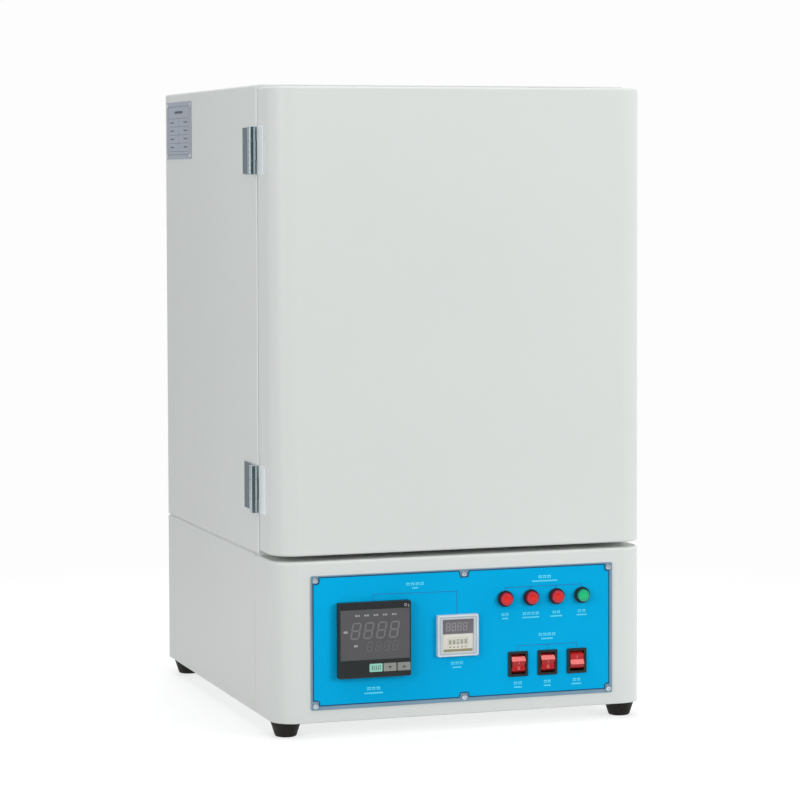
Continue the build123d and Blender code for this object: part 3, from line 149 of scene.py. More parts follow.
def moulded(name, color, roughness, grain=900, depth=0.00003, share=0.05, **values):
    made = Finish(name, color, roughness, **values)
    made.tint(made.noise(25, 3), share)
    made.gloss(made.noise(140, 3), roughness - 0.05, roughness + 0.06)
    return made.bump(made.noise(grain, 2), depth, 0.5)


white_coat = powder_coat("white_coat", (0.765, 0.79, 0.77), 0.42)
# Lighter copy of the white paint for the cabinet's front edge beads: a painted highlight.
edge_trim_painted_highlight = powder_coat("edge_trim_painted_highlight", (0.90, 0.94, 0.95), 0.35)
frame_coat = powder_coat("frame_coat", (0.70, 0.72, 0.70), 0.46)
galvanised = Finish("galvanised", (0.55, 0.56, 0.57), 0.42, metallic=1.0)
galvanised_cells = galvanised.node("ShaderNodeTexVoronoi")
galvanised_cells.inputs["Scale"].default_value = 90
galvanised.link(galvanised.place(), galvanised_cells.inputs["Vector"])
galvanised.tint(galvanised_cells.outputs["Distance"], 0.10, 0.1, 0.8)
galvanised.gloss(galvanised.noise(30), 0.34, 0.5)
stainless = brushed_metal("stainless", (0.60, 0.60, 0.59), 0.20, 0.34, (0.6, 0.6, 30))
stainless_plate = brushed_metal("stainless_plate", (0.58, 0.58, 0.575), 0.22, 0.36, (30, 0.6, 0.6))
wire_steel = brushed_metal("wire_steel", (0.62, 0.63, 0.64), 0.14, 0.24, (1, 20, 1))
chrome = Finish("chrome", (0.62, 0.66, 0.68), 0.10, metallic=1.0)
chrome.tint(chrome.noise(18, 2), 0.03)
chrome.gloss(chrome.noise(240, 3), 0.07, 0.14)
hinge_low, hinge_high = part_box("hinge_pins")
hinge_y = (hinge_low.y + hinge_high.y) / 2
hinge_barrel_radius = 0.0065


def hinge_chrome(name, far_reach, far_color, far_roughness, far_metallic=1.0):
    """Chrome round the hinge barrel, tinted dark teal as a painted dark reflection, that turns by place along
    the leaf to another colour and gloss: a darker tint on the body leaf, also a painted reflection, and a
    pale satin finish on the door leaf.
    """
    made = Finish(name, (0.46, 0.52, 0.54), 0.1, metallic=1.0)
    place = made.node("ShaderNodeTexCoord")
    apart = made.node("ShaderNodeSeparateXYZ")
    made.link(place.outputs["Object"], apart.inputs[0])
    away = made.node("ShaderNodeMapRange")
    away.interpolation_type = "SMOOTHSTEP"
    away.inputs["From Min"].default_value = hinge_y + math.copysign(hinge_barrel_radius, far_reach)
    away.inputs["From Max"].default_value = hinge_y + far_reach
    made.link(apart.outputs["Y"], away.inputs["Value"])
    mix = made.node("ShaderNodeMix", data_type="RGBA")
    made.link(away.outputs["Result"], mix.inputs["Factor"])
    mix.inputs["A"].default_value = (*made.color, 1)
    mix.inputs["B"].default_value = (*far_color, 1)
    made.link(mix.outputs["Result"], made.shader.inputs["Base Color"])
    made.vary("Roughness", away.outputs["Result"], 0.1, far_roughness)
    made.vary("Metallic", away.outputs["Result"], 1.0, far_metallic)
    return made.bump(made.noise(160, 3, (1, 1, 0.2)), 0.00002, 0.4)


# Body leaf: its dark tint away from the barrel is a painted dark reflection.
hinge_body = hinge_chrome("hinge_body", 0.045, (0.20, 0.23, 0.26), 0.12)
hinge_door = hinge_chrome("hinge_door", -0.008, (0.87, 0.90, 0.92), 0.5, 0.5)
zinc = brushed_metal("zinc", (0.66, 0.67, 0.69), 0.22, 0.34, (1, 1, 1))
screw_steel = brushed_metal("screw_steel", (0.64, 0.67, 0.72), 0.2, 0.34, (1, 1, 1))
cast_alloy = moulded("cast_alloy", (0.42, 0.43, 0.44), 0.5, 500, 0.00012, 0.08, Metallic=0.9)
heater_sheath = moulded("heater_sheath", (0.16, 0.145, 0.13), 0.5, 300, 0.00006, 0.25, Metallic=0.8)
wool = Finish("wool", (0.62, 0.56, 0.40), 0.95)
wool.tint(wool.noise(140, 6, (1, 4, 1)), 0.18)
wool.bump(wool.noise(220, 6, (1, 5, 1)), 0.0012, 0.8)
silicone = moulded("silicone", (0.40, 0.085, 0.055), 0.55, 700, 0.00004)
foot_rubber = moulded("foot_rubber", linear(26, 24, 22), 0.6, 650, 0.00010, 0.12, Specular_IOR_Level=0.25)
panel_margin = moulded("panel_margin", linear(128, 158, 178), 0.35, Metallic=0.3)
panel_blue = Finish("panel_blue", linear(0, 177, 235), 0.4, Specular_IOR_Level=0.08)
panel_blue.tint(panel_blue.noise(6, 2), 0.035)
panel_blue.gloss(panel_blue.noise(80, 3), 0.30, 0.40)
panel_blue.bump(panel_blue.noise(700, 2), 0.00002, 0.3)
plate_silver = brushed_metal("plate_silver", (0.45, 0.47, 0.53), 0.34, 0.46, (1, 30, 1))
plate_ink = moulded("plate_ink", linear(76, 76, 86), 0.5)
black_plastic = moulded("black_plastic", linear(38, 41, 41), 0.42, Specular_IOR_Level=0.3)
catch_black = moulded("catch_black", linear(38, 38, 40), 0.6)
window_smoke = Finish("window_smoke", linear(80, 80, 83), 0.16, IOR=1.5)
window_smoke.tint(window_smoke.noise(14, 2), 0.05)
window_smoke.gloss(window_smoke.noise(60, 4), 0.12, 0.22)
segment_grey = moulded("ghost_segment", linear(118, 117, 121), 0.3)
segment_faint = moulded("ghost_segment_faint", linear(98, 97, 102), 0.3)
mark_grey = moulded("mark_grey", linear(165, 165, 163), 0.45)
key_green = moulded("key_green", linear(152, 214, 196), 0.42)
key_grey = moulded("key_grey", linear(146, 147, 141), 0.45)
key_ink = moulded("key_ink", linear(70, 78, 76), 0.5)
timer_clear = moulded("timer_clear", linear(198, 208, 216), 0.2, Coat_Weight=0.4)
timer_cream = moulded("timer_cream", linear(230, 227, 217), 0.4)
timer_glass = Finish("timer_glass", linear(110, 107, 112), 0.14)
timer_glass.tint(timer_glass.noise(40, 2), 0.08)
timer_glass.gloss(timer_glass.noise(90, 3), 0.10, 0.18)
timer_segment = moulded("timer_ghost", linear(150, 148, 152), 0.3)
timer_shade = moulded("timer_shade", linear(150, 144, 112), 0.45)
timer_line = moulded("timer_line", linear(198, 192, 170), 0.45)
# Bright line round the timer frame's rim: a painted highlight. Grey line round its mouth: painted shade.
timer_rim_painted_highlight = moulded("timer_rim_painted_highlight", linear(240, 246, 252), 0.2)
timer_mouth_painted_shade = moulded("timer_mouth_painted_shade", linear(158, 168, 176), 0.3)
wheel_pale = moulded("wheel_pale", linear(196, 198, 184), 0.4)
wheel_ink = moulded("wheel_ink", linear(66, 68, 64), 0.5)
lamp_red = moulded("lamp_red", linear(234, 26, 12), 0.22, 400, 0.00002, 0.05)
# Red lens: the paler rim ring is a painted highlight and the darker side wall is painted shade.
lamp_red_painted_highlight = moulded("lamp_red_painted_highlight", linear(208, 48, 60), 0.22, 400, 0.00002, 0.05)
lamp_red_painted_shade = moulded("lamp_red_painted_shade", linear(142, 12, 48), 0.2, 400, 0.00002, 0.05)
lamp_green = moulded("lamp_green", linear(0, 202, 120), 0.22, 400, 0.00002, 0.05)
# Green lens: the paler rim ring is a painted highlight and the darker side wall is painted shade.
lamp_green_painted_highlight = moulded("lamp_green_painted_highlight", linear(24, 184, 134), 0.22, 400, 0.00002, 0.05)
lamp_green_painted_shade = moulded("lamp_green_painted_shade", linear(2, 104, 84), 0.2, 400, 0.00002, 0.05)
rocker_red = moulded("rocker_red", linear(190, 34, 38), 0.24, 500, 0.00002, 0.08, Specular_IOR_Level=0.35)
# Paler red for the rocker faces that look upward: a painted highlight.
rocker_painted_highlight = moulded("rocker_painted_highlight", linear(246, 130, 128), 0.24, 500, 0.00002, 0.05)
rocker_mark = moulded("rocker_mark", linear(240, 150, 145), 0.35)
navy_ink = moulded("navy_ink", linear(26, 82, 124), 0.4, Specular_IOR_Level=0.2)
line_ink = moulded("line_ink", linear(22, 112, 182), 0.4)
caption_ink = moulded("caption_ink", linear(96, 222, 255), 0.4)
relay_case = moulded("relay_case", linear(222, 218, 205), 0.45)

finish_of = {
    "cabinet_wrap": white_coat, "door_shell": white_coat, "rear_cover": white_coat,
    "base_front_cover": white_coat, "base_side_left": white_coat, "base_side_right": white_coat,
    "base_rear_cover": white_coat, "deck_plate": frame_coat, "front_frame": frame_coat,
    "chamber_liner": stainless, "air_baffle": stainless_plate, "shelf_racks": stainless_plate,
    "door_inner_panel": stainless, "exhaust_tube": stainless_plate, "exhaust_damper": stainless_plate,
    "fan_impeller": stainless_plate, "temperature_probe": wire_steel, "lower_shelf": wire_steel,
    "upper_shelf": wire_steel, "fan_shaft": zinc, "rear_screws": zinc, "panel_screws": screw_steel,
    "data_plate_rivets": zinc, "motor_bulkhead": galvanised, "base_tray": galvanised,
    "hinge_body_leaves": hinge_body, "hinge_door_leaves": hinge_door,
    "hinge_pins": chrome, "door_pull": chrome,
    "fan_motor": cast_alloy, "relay_heatsink": cast_alloy, "heating_element": heater_sheath,
    "chamber_insulation": wool, "door_insulation": wool, "door_gasket": silicone, "feet": foot_rubber,
    "data_plate": plate_silver, "control_panel": panel_margin, "controller_case": black_plastic,
    "controller_window": window_smoke, "controller_key_left": key_green, "controller_key_middle": key_grey,
    "controller_key_right": key_grey, "timer_frame": timer_clear, "timer_body": timer_cream,
    "lamp_bezels": black_plastic, "switch_housings": black_plastic, "cable_gland": black_plastic,
    "door_catches": catch_black, "red_lamp_lenses": lamp_red, "green_lamp_lens": lamp_green,
    "rocker_left": rocker_red, "rocker_middle": rocker_red, "rocker_right": rocker_red,
    "solid_state_relay": relay_case,
}
for number in range(1, 6):
    finish_of[f"timer_wheel_{number}"] = wheel_pale
for name, finish in finish_of.items():
    for material_slot in nodes[name].material_slots:
        material_slot.material = finish.material


# Shapes


def add_piece(name, mesh_data, finish, body, smooth_angle=None):
    """Turns a bmesh into a named piece that rides on a body."""
    mesh = bpy.data.meshes.new(name)
    bmesh.ops.recalc_face_normals(mesh_data, faces=mesh_data.faces)
    mesh_data.to_mesh(mesh)
    mesh_data.free()
    piece = bpy.data.objects.new(name, mesh)
    bpy.context.scene.collection.objects.link(piece)
    mesh.materials.append(finish.material)
    if smooth_angle:
        mesh.shade_smooth()
        mesh.set_sharp_from_angle(angle=math.radians(smooth_angle))
    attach(piece, body)
    return piece


def prism(mesh_data, outline, y_front, y_back):
    """Upright prism of an outline of (x, z) points between two depths, in millimetres."""
    rings = [
        [mesh_data.verts.new((x * MM, y * MM, z * MM)) for x, z in outline] for y in (y_front, y_back)
    ]
    mesh_data.faces.new(rings[0])
    mesh_data.faces.new(rings[1][::-1])
    count = len(outline)
    for i in range(count):
        j = (i + 1) % count
        mesh_data.faces.new((rings[0][i], rings[1][i], rings[1][j], rings[0][j]))


def plate_with_holes(mesh_data, outline, holes, y_front, y_back):
    """Upright plate of an outline of (x, z) points with holes, between two depths, in millimetres."""
    curve = bpy.data.curves.new("plate", "CURVE")
    curve.dimensions = "2D"
    curve.fill_mode = "BOTH"
    curve.extrude = (y_back - y_front) / 2
    for loop in (outline, *holes):
        spline = curve.splines.new("POLY")
        spline.points.add(len(loop) - 1)
        for point, (x, z) in zip(spline.points, loop):
            point.co = (x, z, 0, 1)
        spline.use_cyclic_u = True
    holder = bpy.data.objects.new("plate", curve)
    flat = bpy.data.meshes.new_from_object(holder)
    for vertex in flat.vertices:
        x, z, out = vertex.co
        vertex.co = (x * MM, ((y_front + y_back) / 2 - out) * MM, z * MM)
    mesh_data.from_mesh(flat)
    bmesh.ops.remove_doubles(mesh_data, verts=mesh_data.verts, dist=0.001 * MM)
    bpy.data.objects.remove(holder)
    bpy.data.curves.remove(curve)
    bpy.data.meshes.remove(flat)


def rounded_outline(x, z, width, height, radius, steps=4):
    """Points round a rectangle with round corners, centred at (x, z)."""
    points = []
    for corner in range(4):
        angle = math.radians(90 * corner)
        side_x = 1 if corner in (0, 3) else -1
        side_z = 1 if corner in (0, 1) else -1
        center_x = x + side_x * (width / 2 - radius)
        center_z = z + side_z * (height / 2 - radius)
        for step in range(steps + 1):
            turn = angle + math.radians(90) * step / steps
            points.append((center_x + radius * math.cos(turn), center_z + radius * math.sin(turn)))
    return points


def ribbon(mesh_data, path, width, y_front, y_back, closed=False):
    """Line of one width along (x, z) points, mitred at its corners, between two depths."""
    count = len(path)
    sides = ([], [])
    for i, (x, z) in enumerate(path):
        before = path[i - 1] if closed or i else path[i]
        after = path[(i + 1) % count] if closed or i < count - 1 else path[i]
        directions = []
        for start, end in ((before, (x, z)), ((x, z), after)):
            step = Vector((end[0] - start[0], end[1] - start[1]))
            if step.length > 0:
                directions.append(step.normalized())
        mean = sum(directions, Vector((0, 0))).normalized()
        across = Vector((-mean.y, mean.x))
        reach = width / 2 / max(0.4, directions[0].dot(mean))
        for sign, side in zip((1, -1), sides):
            side.append((x + sign * across.x * reach, z + sign * across.y * reach))
    spans = count if closed else count - 1
    for i in range(spans):
        j = (i + 1) % count
        prism(mesh_data, [sides[0][i], sides[0][j], sides[1][j], sides[1][i]], y_front, y_back)


def lathe(mesh_data, profile, center, segments=48):
    """Solid of revolution round an axis along Y: profile points are (radius, y) in millimetres."""
    rings = []
    for radius, y in profile:
        if radius == 0:
            rings.append([mesh_data.verts.new((center[0] * MM, y * MM, center[1] * MM))])
            continue
        rings.append(
            [
                mesh_data.verts.new(
                    (
                        (center[0] + radius * math.cos(2 * math.pi * i / segments)) * MM,
                        y * MM,
                        (center[1] + radius * math.sin(2 * math.pi * i / segments)) * MM,
                    )
                )
                for i in range(segments)
            ]
        )
    for first, second in zip(rings[:-1], rings[1:]):
        for i in range(segments):
            j = (i + 1) % segments
            if len(first) == 1:
                mesh_data.faces.new((first[0], second[i], second[j]))
            elif len(second) == 1:
                mesh_data.faces.new((first[i], second[0], first[j]))
            else:
                mesh_data.faces.new((first[i], second[i], second[j], first[j]))


def seven_segments(mesh_data, x, z, width, height, stroke, slant, y_front, y_back):
    """All seven segments of one digit, leaning by the slant."""
    half_w, half_h = (width - stroke) / 2, (height - stroke) / 2
    gap = stroke * 0.12
    runs = [
        ((-half_w, half_h), (half_w, half_h)),
        ((-half_w, 0), (half_w, 0)),
        ((-half_w, -half_h), (half_w, -half_h)),
        ((-half_w, 0), (-half_w, half_h)),
        ((half_w, 0), (half_w, half_h)),
        ((-half_w, -half_h), (-half_w, 0)),
        ((half_w, -half_h), (half_w, 0)),
    ]
    for start, end in runs:
        along = (Vector(end) - Vector(start)).normalized()
        across = Vector((-along.y, along.x)) * stroke / 2
        a = Vector(start) + along * gap
        b = Vector(end) - along * gap
        tip = along * stroke / 2
        points = [a, a + tip + across, b - tip + across, b, b - tip - across, a + tip - across]
        prism(mesh_data, [(x + p.x + p.y * slant, z + p.y) for p in points], y_front, y_back)


def box_mm(node):
    """Lowest and highest corners of a CAD node, in millimetres."""
    low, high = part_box(node)
    return low / MM, high / MM


# Printed film on the control panel, with its border line, connecting lines and bare caption bars

panel_low, panel_high = box_mm("control_panel")
panel_y = panel_low.y
film_y = panel_y - 0.15
ink_y = film_y - 0.1
ink_back_y = film_y + 0.05
border_left, border_right = panel_low.x + 2.6, panel_high.x - 4.6
border_bottom, border_top = panel_low.z + 5.4, panel_high.z - 2.2
corner_notch = 10.5
notch_cut = 2.0


def border_path():
    """Border line: a rectangle that steps round the six screws."""
    left, right = panel_low.x + corner_notch, panel_high.x - corner_notch
    low, high = panel_low.z + corner_notch + 1.5, panel_high.z - corner_notch
    path = []
    path += [(border_left, low), (left - notch_cut, low), (left, low - notch_cut), (left, border_bottom)]
    path += [(-7.0, border_bottom), (-5.0, low - 0.5), (5.0, low - 0.5), (7.0, border_bottom)]
    path += [(right, border_bottom), (right, low - notch_cut), (right + notch_cut, low), (border_right, low)]
    path += [(border_right, high), (right + notch_cut, high), (right, high + notch_cut), (right, border_top)]
    path += [(7.0, border_top), (5.0, high + 0.5), (-5.0, high + 0.5), (-7.0, border_top)]
    path += [(left, border_top), (left, high + notch_cut), (left - notch_cut, high), (border_left, high)]
    return path


border = bmesh.new()
ribbon(border, border_path(), 1.5, ink_y, ink_back_y, closed=True)
add_piece("panel_border_line", border, navy_ink, "root")

controller_low, controller_high = box_mm("controller_case")
controller_x = (controller_low.x + controller_high.x) / 2
timer_low, timer_high = box_mm("timer_frame")
timer_x = (timer_low.x + timer_high.x) / 2
timer_z = (timer_low.z + timer_high.z) / 2
lamps_low, lamps_high = box_mm("lamp_bezels")
lamp_radius = (lamps_high.z - lamps_low.z) / 2
lamp_z = (lamps_high.z + lamps_low.z) / 2
lamp_pitch = (lamps_high.x - lamps_low.x - 2 * lamp_radius) / 3
lamp_centers = [(lamps_low.x + lamp_radius + i * lamp_pitch, lamp_z) for i in range(4)]
rocker_boxes = {name: box_mm(f"rocker_{name}") for name in ("left", "middle", "right")}
switch_x = [(low.x + high.x) / 2 for low, high in rocker_boxes.values()]
switches_low, switches_high = box_mm("switch_housings")

controller_z = (controller_low.z + controller_high.z) / 2
switch_z = (switches_low.z + switches_high.z) / 2
hole_corner = 1.0
controller_hole = 92.5
timer_hole = 48.0
switch_hole_width, switch_hole_height = 25.0, 30.5
lamp_hole = 19.0
film_holes = [
    rounded_outline(controller_x, controller_z, controller_hole, controller_hole, hole_corner),
    rounded_outline(timer_x, timer_z, timer_hole, timer_hole, hole_corner),
]
for x in switch_x:
    film_holes.append(rounded_outline(x, switch_z, switch_hole_width, switch_hole_height, hole_corner))
for x, z in lamp_centers:
    film_holes.append(rounded_outline(x, z, lamp_hole, lamp_hole, lamp_hole / 2, 8))
film = bmesh.new()
plate_with_holes(film, border_path(), film_holes, film_y, panel_y)
add_piece("panel_film", film, panel_blue, "root")

lines = bmesh.new()
line_width = 0.8
controller_line_z = controller_high.z + 8.5
ribbon(
    lines,
    [
        (controller_x, controller_high.z + 0.4),
        (controller_x, controller_line_z),
        (timer_x, controller_line_z - 1.5),
        (timer_x, timer_high.z + 0.4),
    ],
    line_width,
    ink_y,
    ink_back_y,
)
lamp_line_z = lamps_high.z + 3.6
switch_line_z = switches_high.z + 7.0
for line_z, stops, foot_z in (
    (lamp_line_z, [x for x, _ in lamp_centers], lamps_high.z + 0.6),
    (switch_line_z, switch_x, switches_high.z + 0.8),
):
    ribbon(lines, [(stops[0], line_z), (stops[-1], line_z)], line_width, ink_y, ink_back_y)
    for x in stops:
        ribbon(lines, [(x, line_z), (x, foot_z)], line_width, ink_y, ink_back_y)
add_piece("panel_lines", lines, line_ink, "root")

# Captions as (x, z, width, height, blocks): one block is a plain bar, more stand for a line of signs
block_gap = 1.1
block_row_height = 0.42
block_row_place = 0.29
half_block_width = 0.40
half_block_place = 0.27
caption_rows = [
    (-66.1, 190.5, 25.0, 3.6, 4), (-66.1, 185.4, 8.0, 1.8, 1),
    (-121.9, 60.0, 19.0, 3.8, 3), (-121.9, 54.2, 25.0, 1.8, 1),
    (-9.9, 86.2, 17.5, 3.8, 3), (-9.9, 80.8, 12.0, 1.8, 1),
    (110.1, 191.7, 18.5, 3.8, 3), (110.1, 186.4, 35.0, 1.8, 1),
    (55.8, 145.0, 11.0, 3.6, 2), (55.8, 140.0, 8.5, 1.7, 1),
    (91.0, 145.0, 23.5, 3.6, 4), (91.0, 140.0, 23.0, 1.7, 1),
    (126.2, 145.0, 12.0, 3.6, 2), (126.2, 140.0, 16.5, 1.7, 1),
    (161.4, 145.0, 12.0, 3.6, 2), (161.4, 140.0, 14.0, 1.7, 1),
    (113.4, 116.8, 24.5, 3.8, 4), (113.4, 111.4, 16.0, 1.8, 1),
    (73.2, 55.6, 12.5, 3.8, 2), (73.2, 50.4, 11.0, 1.8, 1),
    (113.7, 55.6, 10.5, 3.8, 2), (113.7, 50.4, 9.5, 1.8, 1),
    (154.2, 55.6, 11.5, 3.8, 2), (154.2, 50.4, 13.5, 1.8, 1),
]
captions = bmesh.new()
for x, z, width, height, blocks in caption_rows:
    pitch = width / blocks
    for i in range(blocks):
        block_x = x - width / 2 + (i + 0.5) * pitch
        if blocks == 1:
            bars = [(0, 0, width, height)]
        else:
            block_width = pitch - block_gap
            row_height = height * block_row_height
            row_place = height * block_row_place
            bars = [(0, row_place, block_width, row_height)]
            for side in (-1, 1):
                shift_x = side * block_width * half_block_place
                bars.append((shift_x, -row_place, block_width * half_block_width, row_height))
        for shift_x, shift_z, bar_width, bar_height in bars:
            outline = rounded_outline(block_x + shift_x, z + shift_z, bar_width, bar_height, bar_height * 0.3)
            prism(captions, outline, ink_y, ink_back_y)
add_piece("panel_caption_bars", captions, caption_ink, "root")

# Temperature controller: unlit digits, bare marks and key symbols

window_low, _ = box_mm("controller_window")
digit_y = window_low.y - 0.06
window_y = window_low.y + 0.02
digit_slant = 0.19
for name, finish, first_x, pitch, z, width, height, stroke in (
    ("upper", segment_grey, -25.6, 17.0, 135.6, 12.2, 21.5, 2.1),
    ("lower", segment_faint, -7.2, 11.3, 115.0, 7.6, 12.6, 1.2),
):
    digits = bmesh.new()
    for i in range(4):
        x = controller_x + first_x + i * pitch
        seven_segments(digits, x, z, width, height, stroke, digit_slant, digit_y, window_y)
    add_piece(f"controller_digits_{name}", digits, finish, "root")

marks = bmesh.new()
mark_row_z = 154.9
first_mark_x = controller_x - 23.6
mark_pitch = 12.2
for i in range(5):
    for shift in (-1.7, 1.7):
        mark_x = first_mark_x + i * mark_pitch + shift
        prism(marks, rounded_outline(mark_x, mark_row_z, 2.6, 2.2, 0.4), digit_y, window_y)
for x, z, width in ((controller_x - 39.0, 134.6, 5.6), (controller_x - 25.8, 116.6, 5.0)):
    prism(marks, rounded_outline(x, z, width, 2.8, 0.5), digit_y, window_y)
add_piece("controller_marks", marks, mark_grey, "root")

degree = bmesh.new()
face_y = controller_low.y
ring_x, ring_z = controller_high.x - 7.6, controller_high.z - 5.2
ring = [
    (ring_x + 1.5 * math.cos(math.radians(turn)), ring_z + 1.5 * math.sin(math.radians(turn)))
    for turn in range(0, 360, 20)
]
ribbon(degree, ring, 0.9, face_y - 0.06, face_y + 0.02, closed=True)
prism(degree, rounded_outline(ring_x + 4.0, ring_z - 1.2, 1.2, 3.6, 0.4), face_y - 0.06, face_y + 0.02)
add_piece("controller_degree_ring", degree, mark_grey, "root")

for name in ("left", "middle", "right"):
    low, high = box_mm(f"controller_key_{name}")
    x, z = (low.x + high.x) / 2, (low.z + high.z) / 2
    symbol = bmesh.new()
    symbol_y = (low.y - 0.08, low.y + 0.02)
    if name == "left":
        for i in range(-2, 3):
            prism(symbol, rounded_outline(x + i * 2.6, z, 0.8, 6.2, 0.3), *symbol_y)
    else:
        up = 1 if name == "right" else -1
        prism(symbol, [(x - 2.6, z - up * 1.5), (x + 2.6, z - up * 1.5), (x, z + up * 2.1)][::up], *symbol_y)
    add_piece(f"key_symbol_{name}", symbol, key_ink, f"key_{name}")

# Digital timer: display glass, unlit digits, marks, lines on the clear frame (a painted highlight round its
# rim and painted shade round its mouth), and numbers on the wheels

body_low, _ = box_mm("timer_body")
display_z = timer_z + 11.4
display_width, display_height, display_corner = 41.0, 18.6, 0.8
display_y = body_low.y - 0.5
glass = bmesh.new()
glass_outline = rounded_outline(timer_x, display_z, display_width, display_height, display_corner)
prism(glass, glass_outline, display_y, body_low.y + 0.3)
glass_piece = add_piece("timer_display", glass, timer_glass, "root")
glass_bevel = glass_piece.modifiers.new("edge", "BEVEL")
glass_bevel.width = 0.3 * MM
glass_bevel.segments = 2
timer_digits = bmesh.new()
timer_digit_pitch = 7.6
for i in range(4):
    x = timer_x - 13.2 + i * timer_digit_pitch
    seven_segments(timer_digits, x, display_z, 5.6, 10.6, 1.0, 0.06, display_y - 0.06, display_y + 0.05)
add_piece("timer_digits", timer_digits, timer_segment, "root")

wheel_boxes = [box_mm(f"timer_wheel_{i}") for i in range(1, 6)]
timer_marks = bmesh.new()
for low, high in wheel_boxes:
    mark_x = (low.x + high.x) / 2
    mark_outline = rounded_outline(mark_x, timer_z - 15.0, 2.0, 1.1, 0.3)
    prism(timer_marks, mark_outline, body_low.y - 0.05, body_low.y + 0.02)
add_piece("timer_marks", timer_marks, wheel_ink, "root")
shade = bmesh.new()
prism(shade, rounded_outline(timer_x, timer_z - 18.9, 39.0, 3.2, 0.5), body_low.y - 0.08, body_low.y + 0.02)
add_piece("timer_lower_band", shade, timer_shade, "root")
wheel_frame = bmesh.new()
wheels_left, wheels_right = wheel_boxes[0][0].x - 1.6, wheel_boxes[-1][1].x + 1.6
wheels_x = (wheels_left + wheels_right) / 2
wheels_z = (wheel_boxes[0][0].z + wheel_boxes[0][1].z) / 2
wheels_outline = rounded_outline(wheels_x, wheels_z, wheels_right - wheels_left, 11.0, 0.8, 3)
ribbon(wheel_frame, wheels_outline, 0.5, body_low.y - 0.12, body_low.y + 0.02, closed=True)
add_piece("timer_wheel_border", wheel_frame, timer_line, "root")
# The rim line is a painted highlight and the mouth line is painted shade on the clear frame.
for name, finish, inset, width in (
    ("timer_frame_rim_line", timer_rim_painted_highlight, 1.6, 0.9),
    ("timer_frame_mouth_line", timer_mouth_painted_shade, 3.5, 0.6),
):
    timer_line_mesh = bmesh.new()
    line_length = timer_high.x - timer_low.x - 2 * inset
    line_height = timer_high.z - timer_low.z - 2 * inset
    line_outline = rounded_outline(timer_x, timer_z, line_length, line_height, 1.6)
    ribbon(timer_line_mesh, line_outline, width, timer_low.y - 0.05, timer_low.y + 0.2, closed=True)
    add_piece(name, timer_line_mesh, finish, "root")


def wheel_numbers(name, low, high, shown, body):
    """Numbers 0 to 9 round a thumbwheel, curved to its rim, with one of them to the front."""
    center_x = (low.x + high.x) / 2
    center_z = (low.z + high.z) / 2
    radius = (high.y - low.y) / 2
    center_y = low.y + radius
    whole = bmesh.new()
    for number in range(10):
        curve = bpy.data.curves.new("number", "FONT")
        curve.body = str(number)
        curve.size = 4.6
        curve.align_x = "CENTER"
        curve.align_y = "CENTER"
        curve.extrude = 0.02
        text = bpy.data.objects.new("number", curve)
        part = bpy.data.meshes.new_from_object(text)
        turn = math.radians(36) * (number - shown)
        for vertex in part.vertices:
            x, up, out = vertex.co
            angle = turn + up / radius
            reach = radius + 0.03 + out
            vertex.co = (
                (center_x + x) * MM,
                (center_y - reach * math.cos(angle)) * MM,
                (center_z + reach * math.sin(angle)) * MM,
            )
        whole.from_mesh(part)
        bpy.data.objects.remove(text)
        bpy.data.curves.remove(curve)
        bpy.data.meshes.remove(part)
    add_piece(name, whole, wheel_ink, body)


for index, ((low, high), shown) in enumerate(zip(wheel_boxes, (0, 0, 1, 2, 5)), 1):
    wheel_numbers(f"wheel_numbers_{index}", low, high, shown, f"wheel_{index}")

# Pale trim down the front edges of the cabinet sides, beside the door gap: a bead in a lighter copy of the
# white paint, a painted highlight

wrap_low, wrap_high = box_mm("cabinet_wrap")
edge_stand = 1.3
edge_profile = [(-0.2, 0.0), (edge_stand * 0.35, 0.0), (edge_stand, 0.9), (edge_stand, 1.3), (-0.2, 1.8)]
trim = bmesh.new()
for side, side_x in ((-1, wrap_low.x), (1, wrap_high.x)):
    ends = []
    for z in (wrap_low.z + 3.0, wrap_high.z - 3.0):
        ends.append(
            [
                trim.verts.new(((side_x + side * out) * MM, (wrap_low.y + back) * MM, z * MM))
                for out, back in edge_profile
            ]
        )
    for i in range(len(edge_profile)):
        j = (i + 1) % len(edge_profile)
        trim.faces.new((ends[0][i], ends[0][j], ends[1][j], ends[1][i]))
    trim.faces.new(ends[0])
    trim.faces.new(ends[1][::-1])
add_piece("cabinet_edge_trim", trim, edge_trim_painted_highlight, "root", 50)

# Indicator lamps: stepped lenses in place of the plain ones, and a lip on each bezel. Each lens has a core in
# its own colour, a paler rim ring that is a painted highlight and a darker side wall that is painted shade.

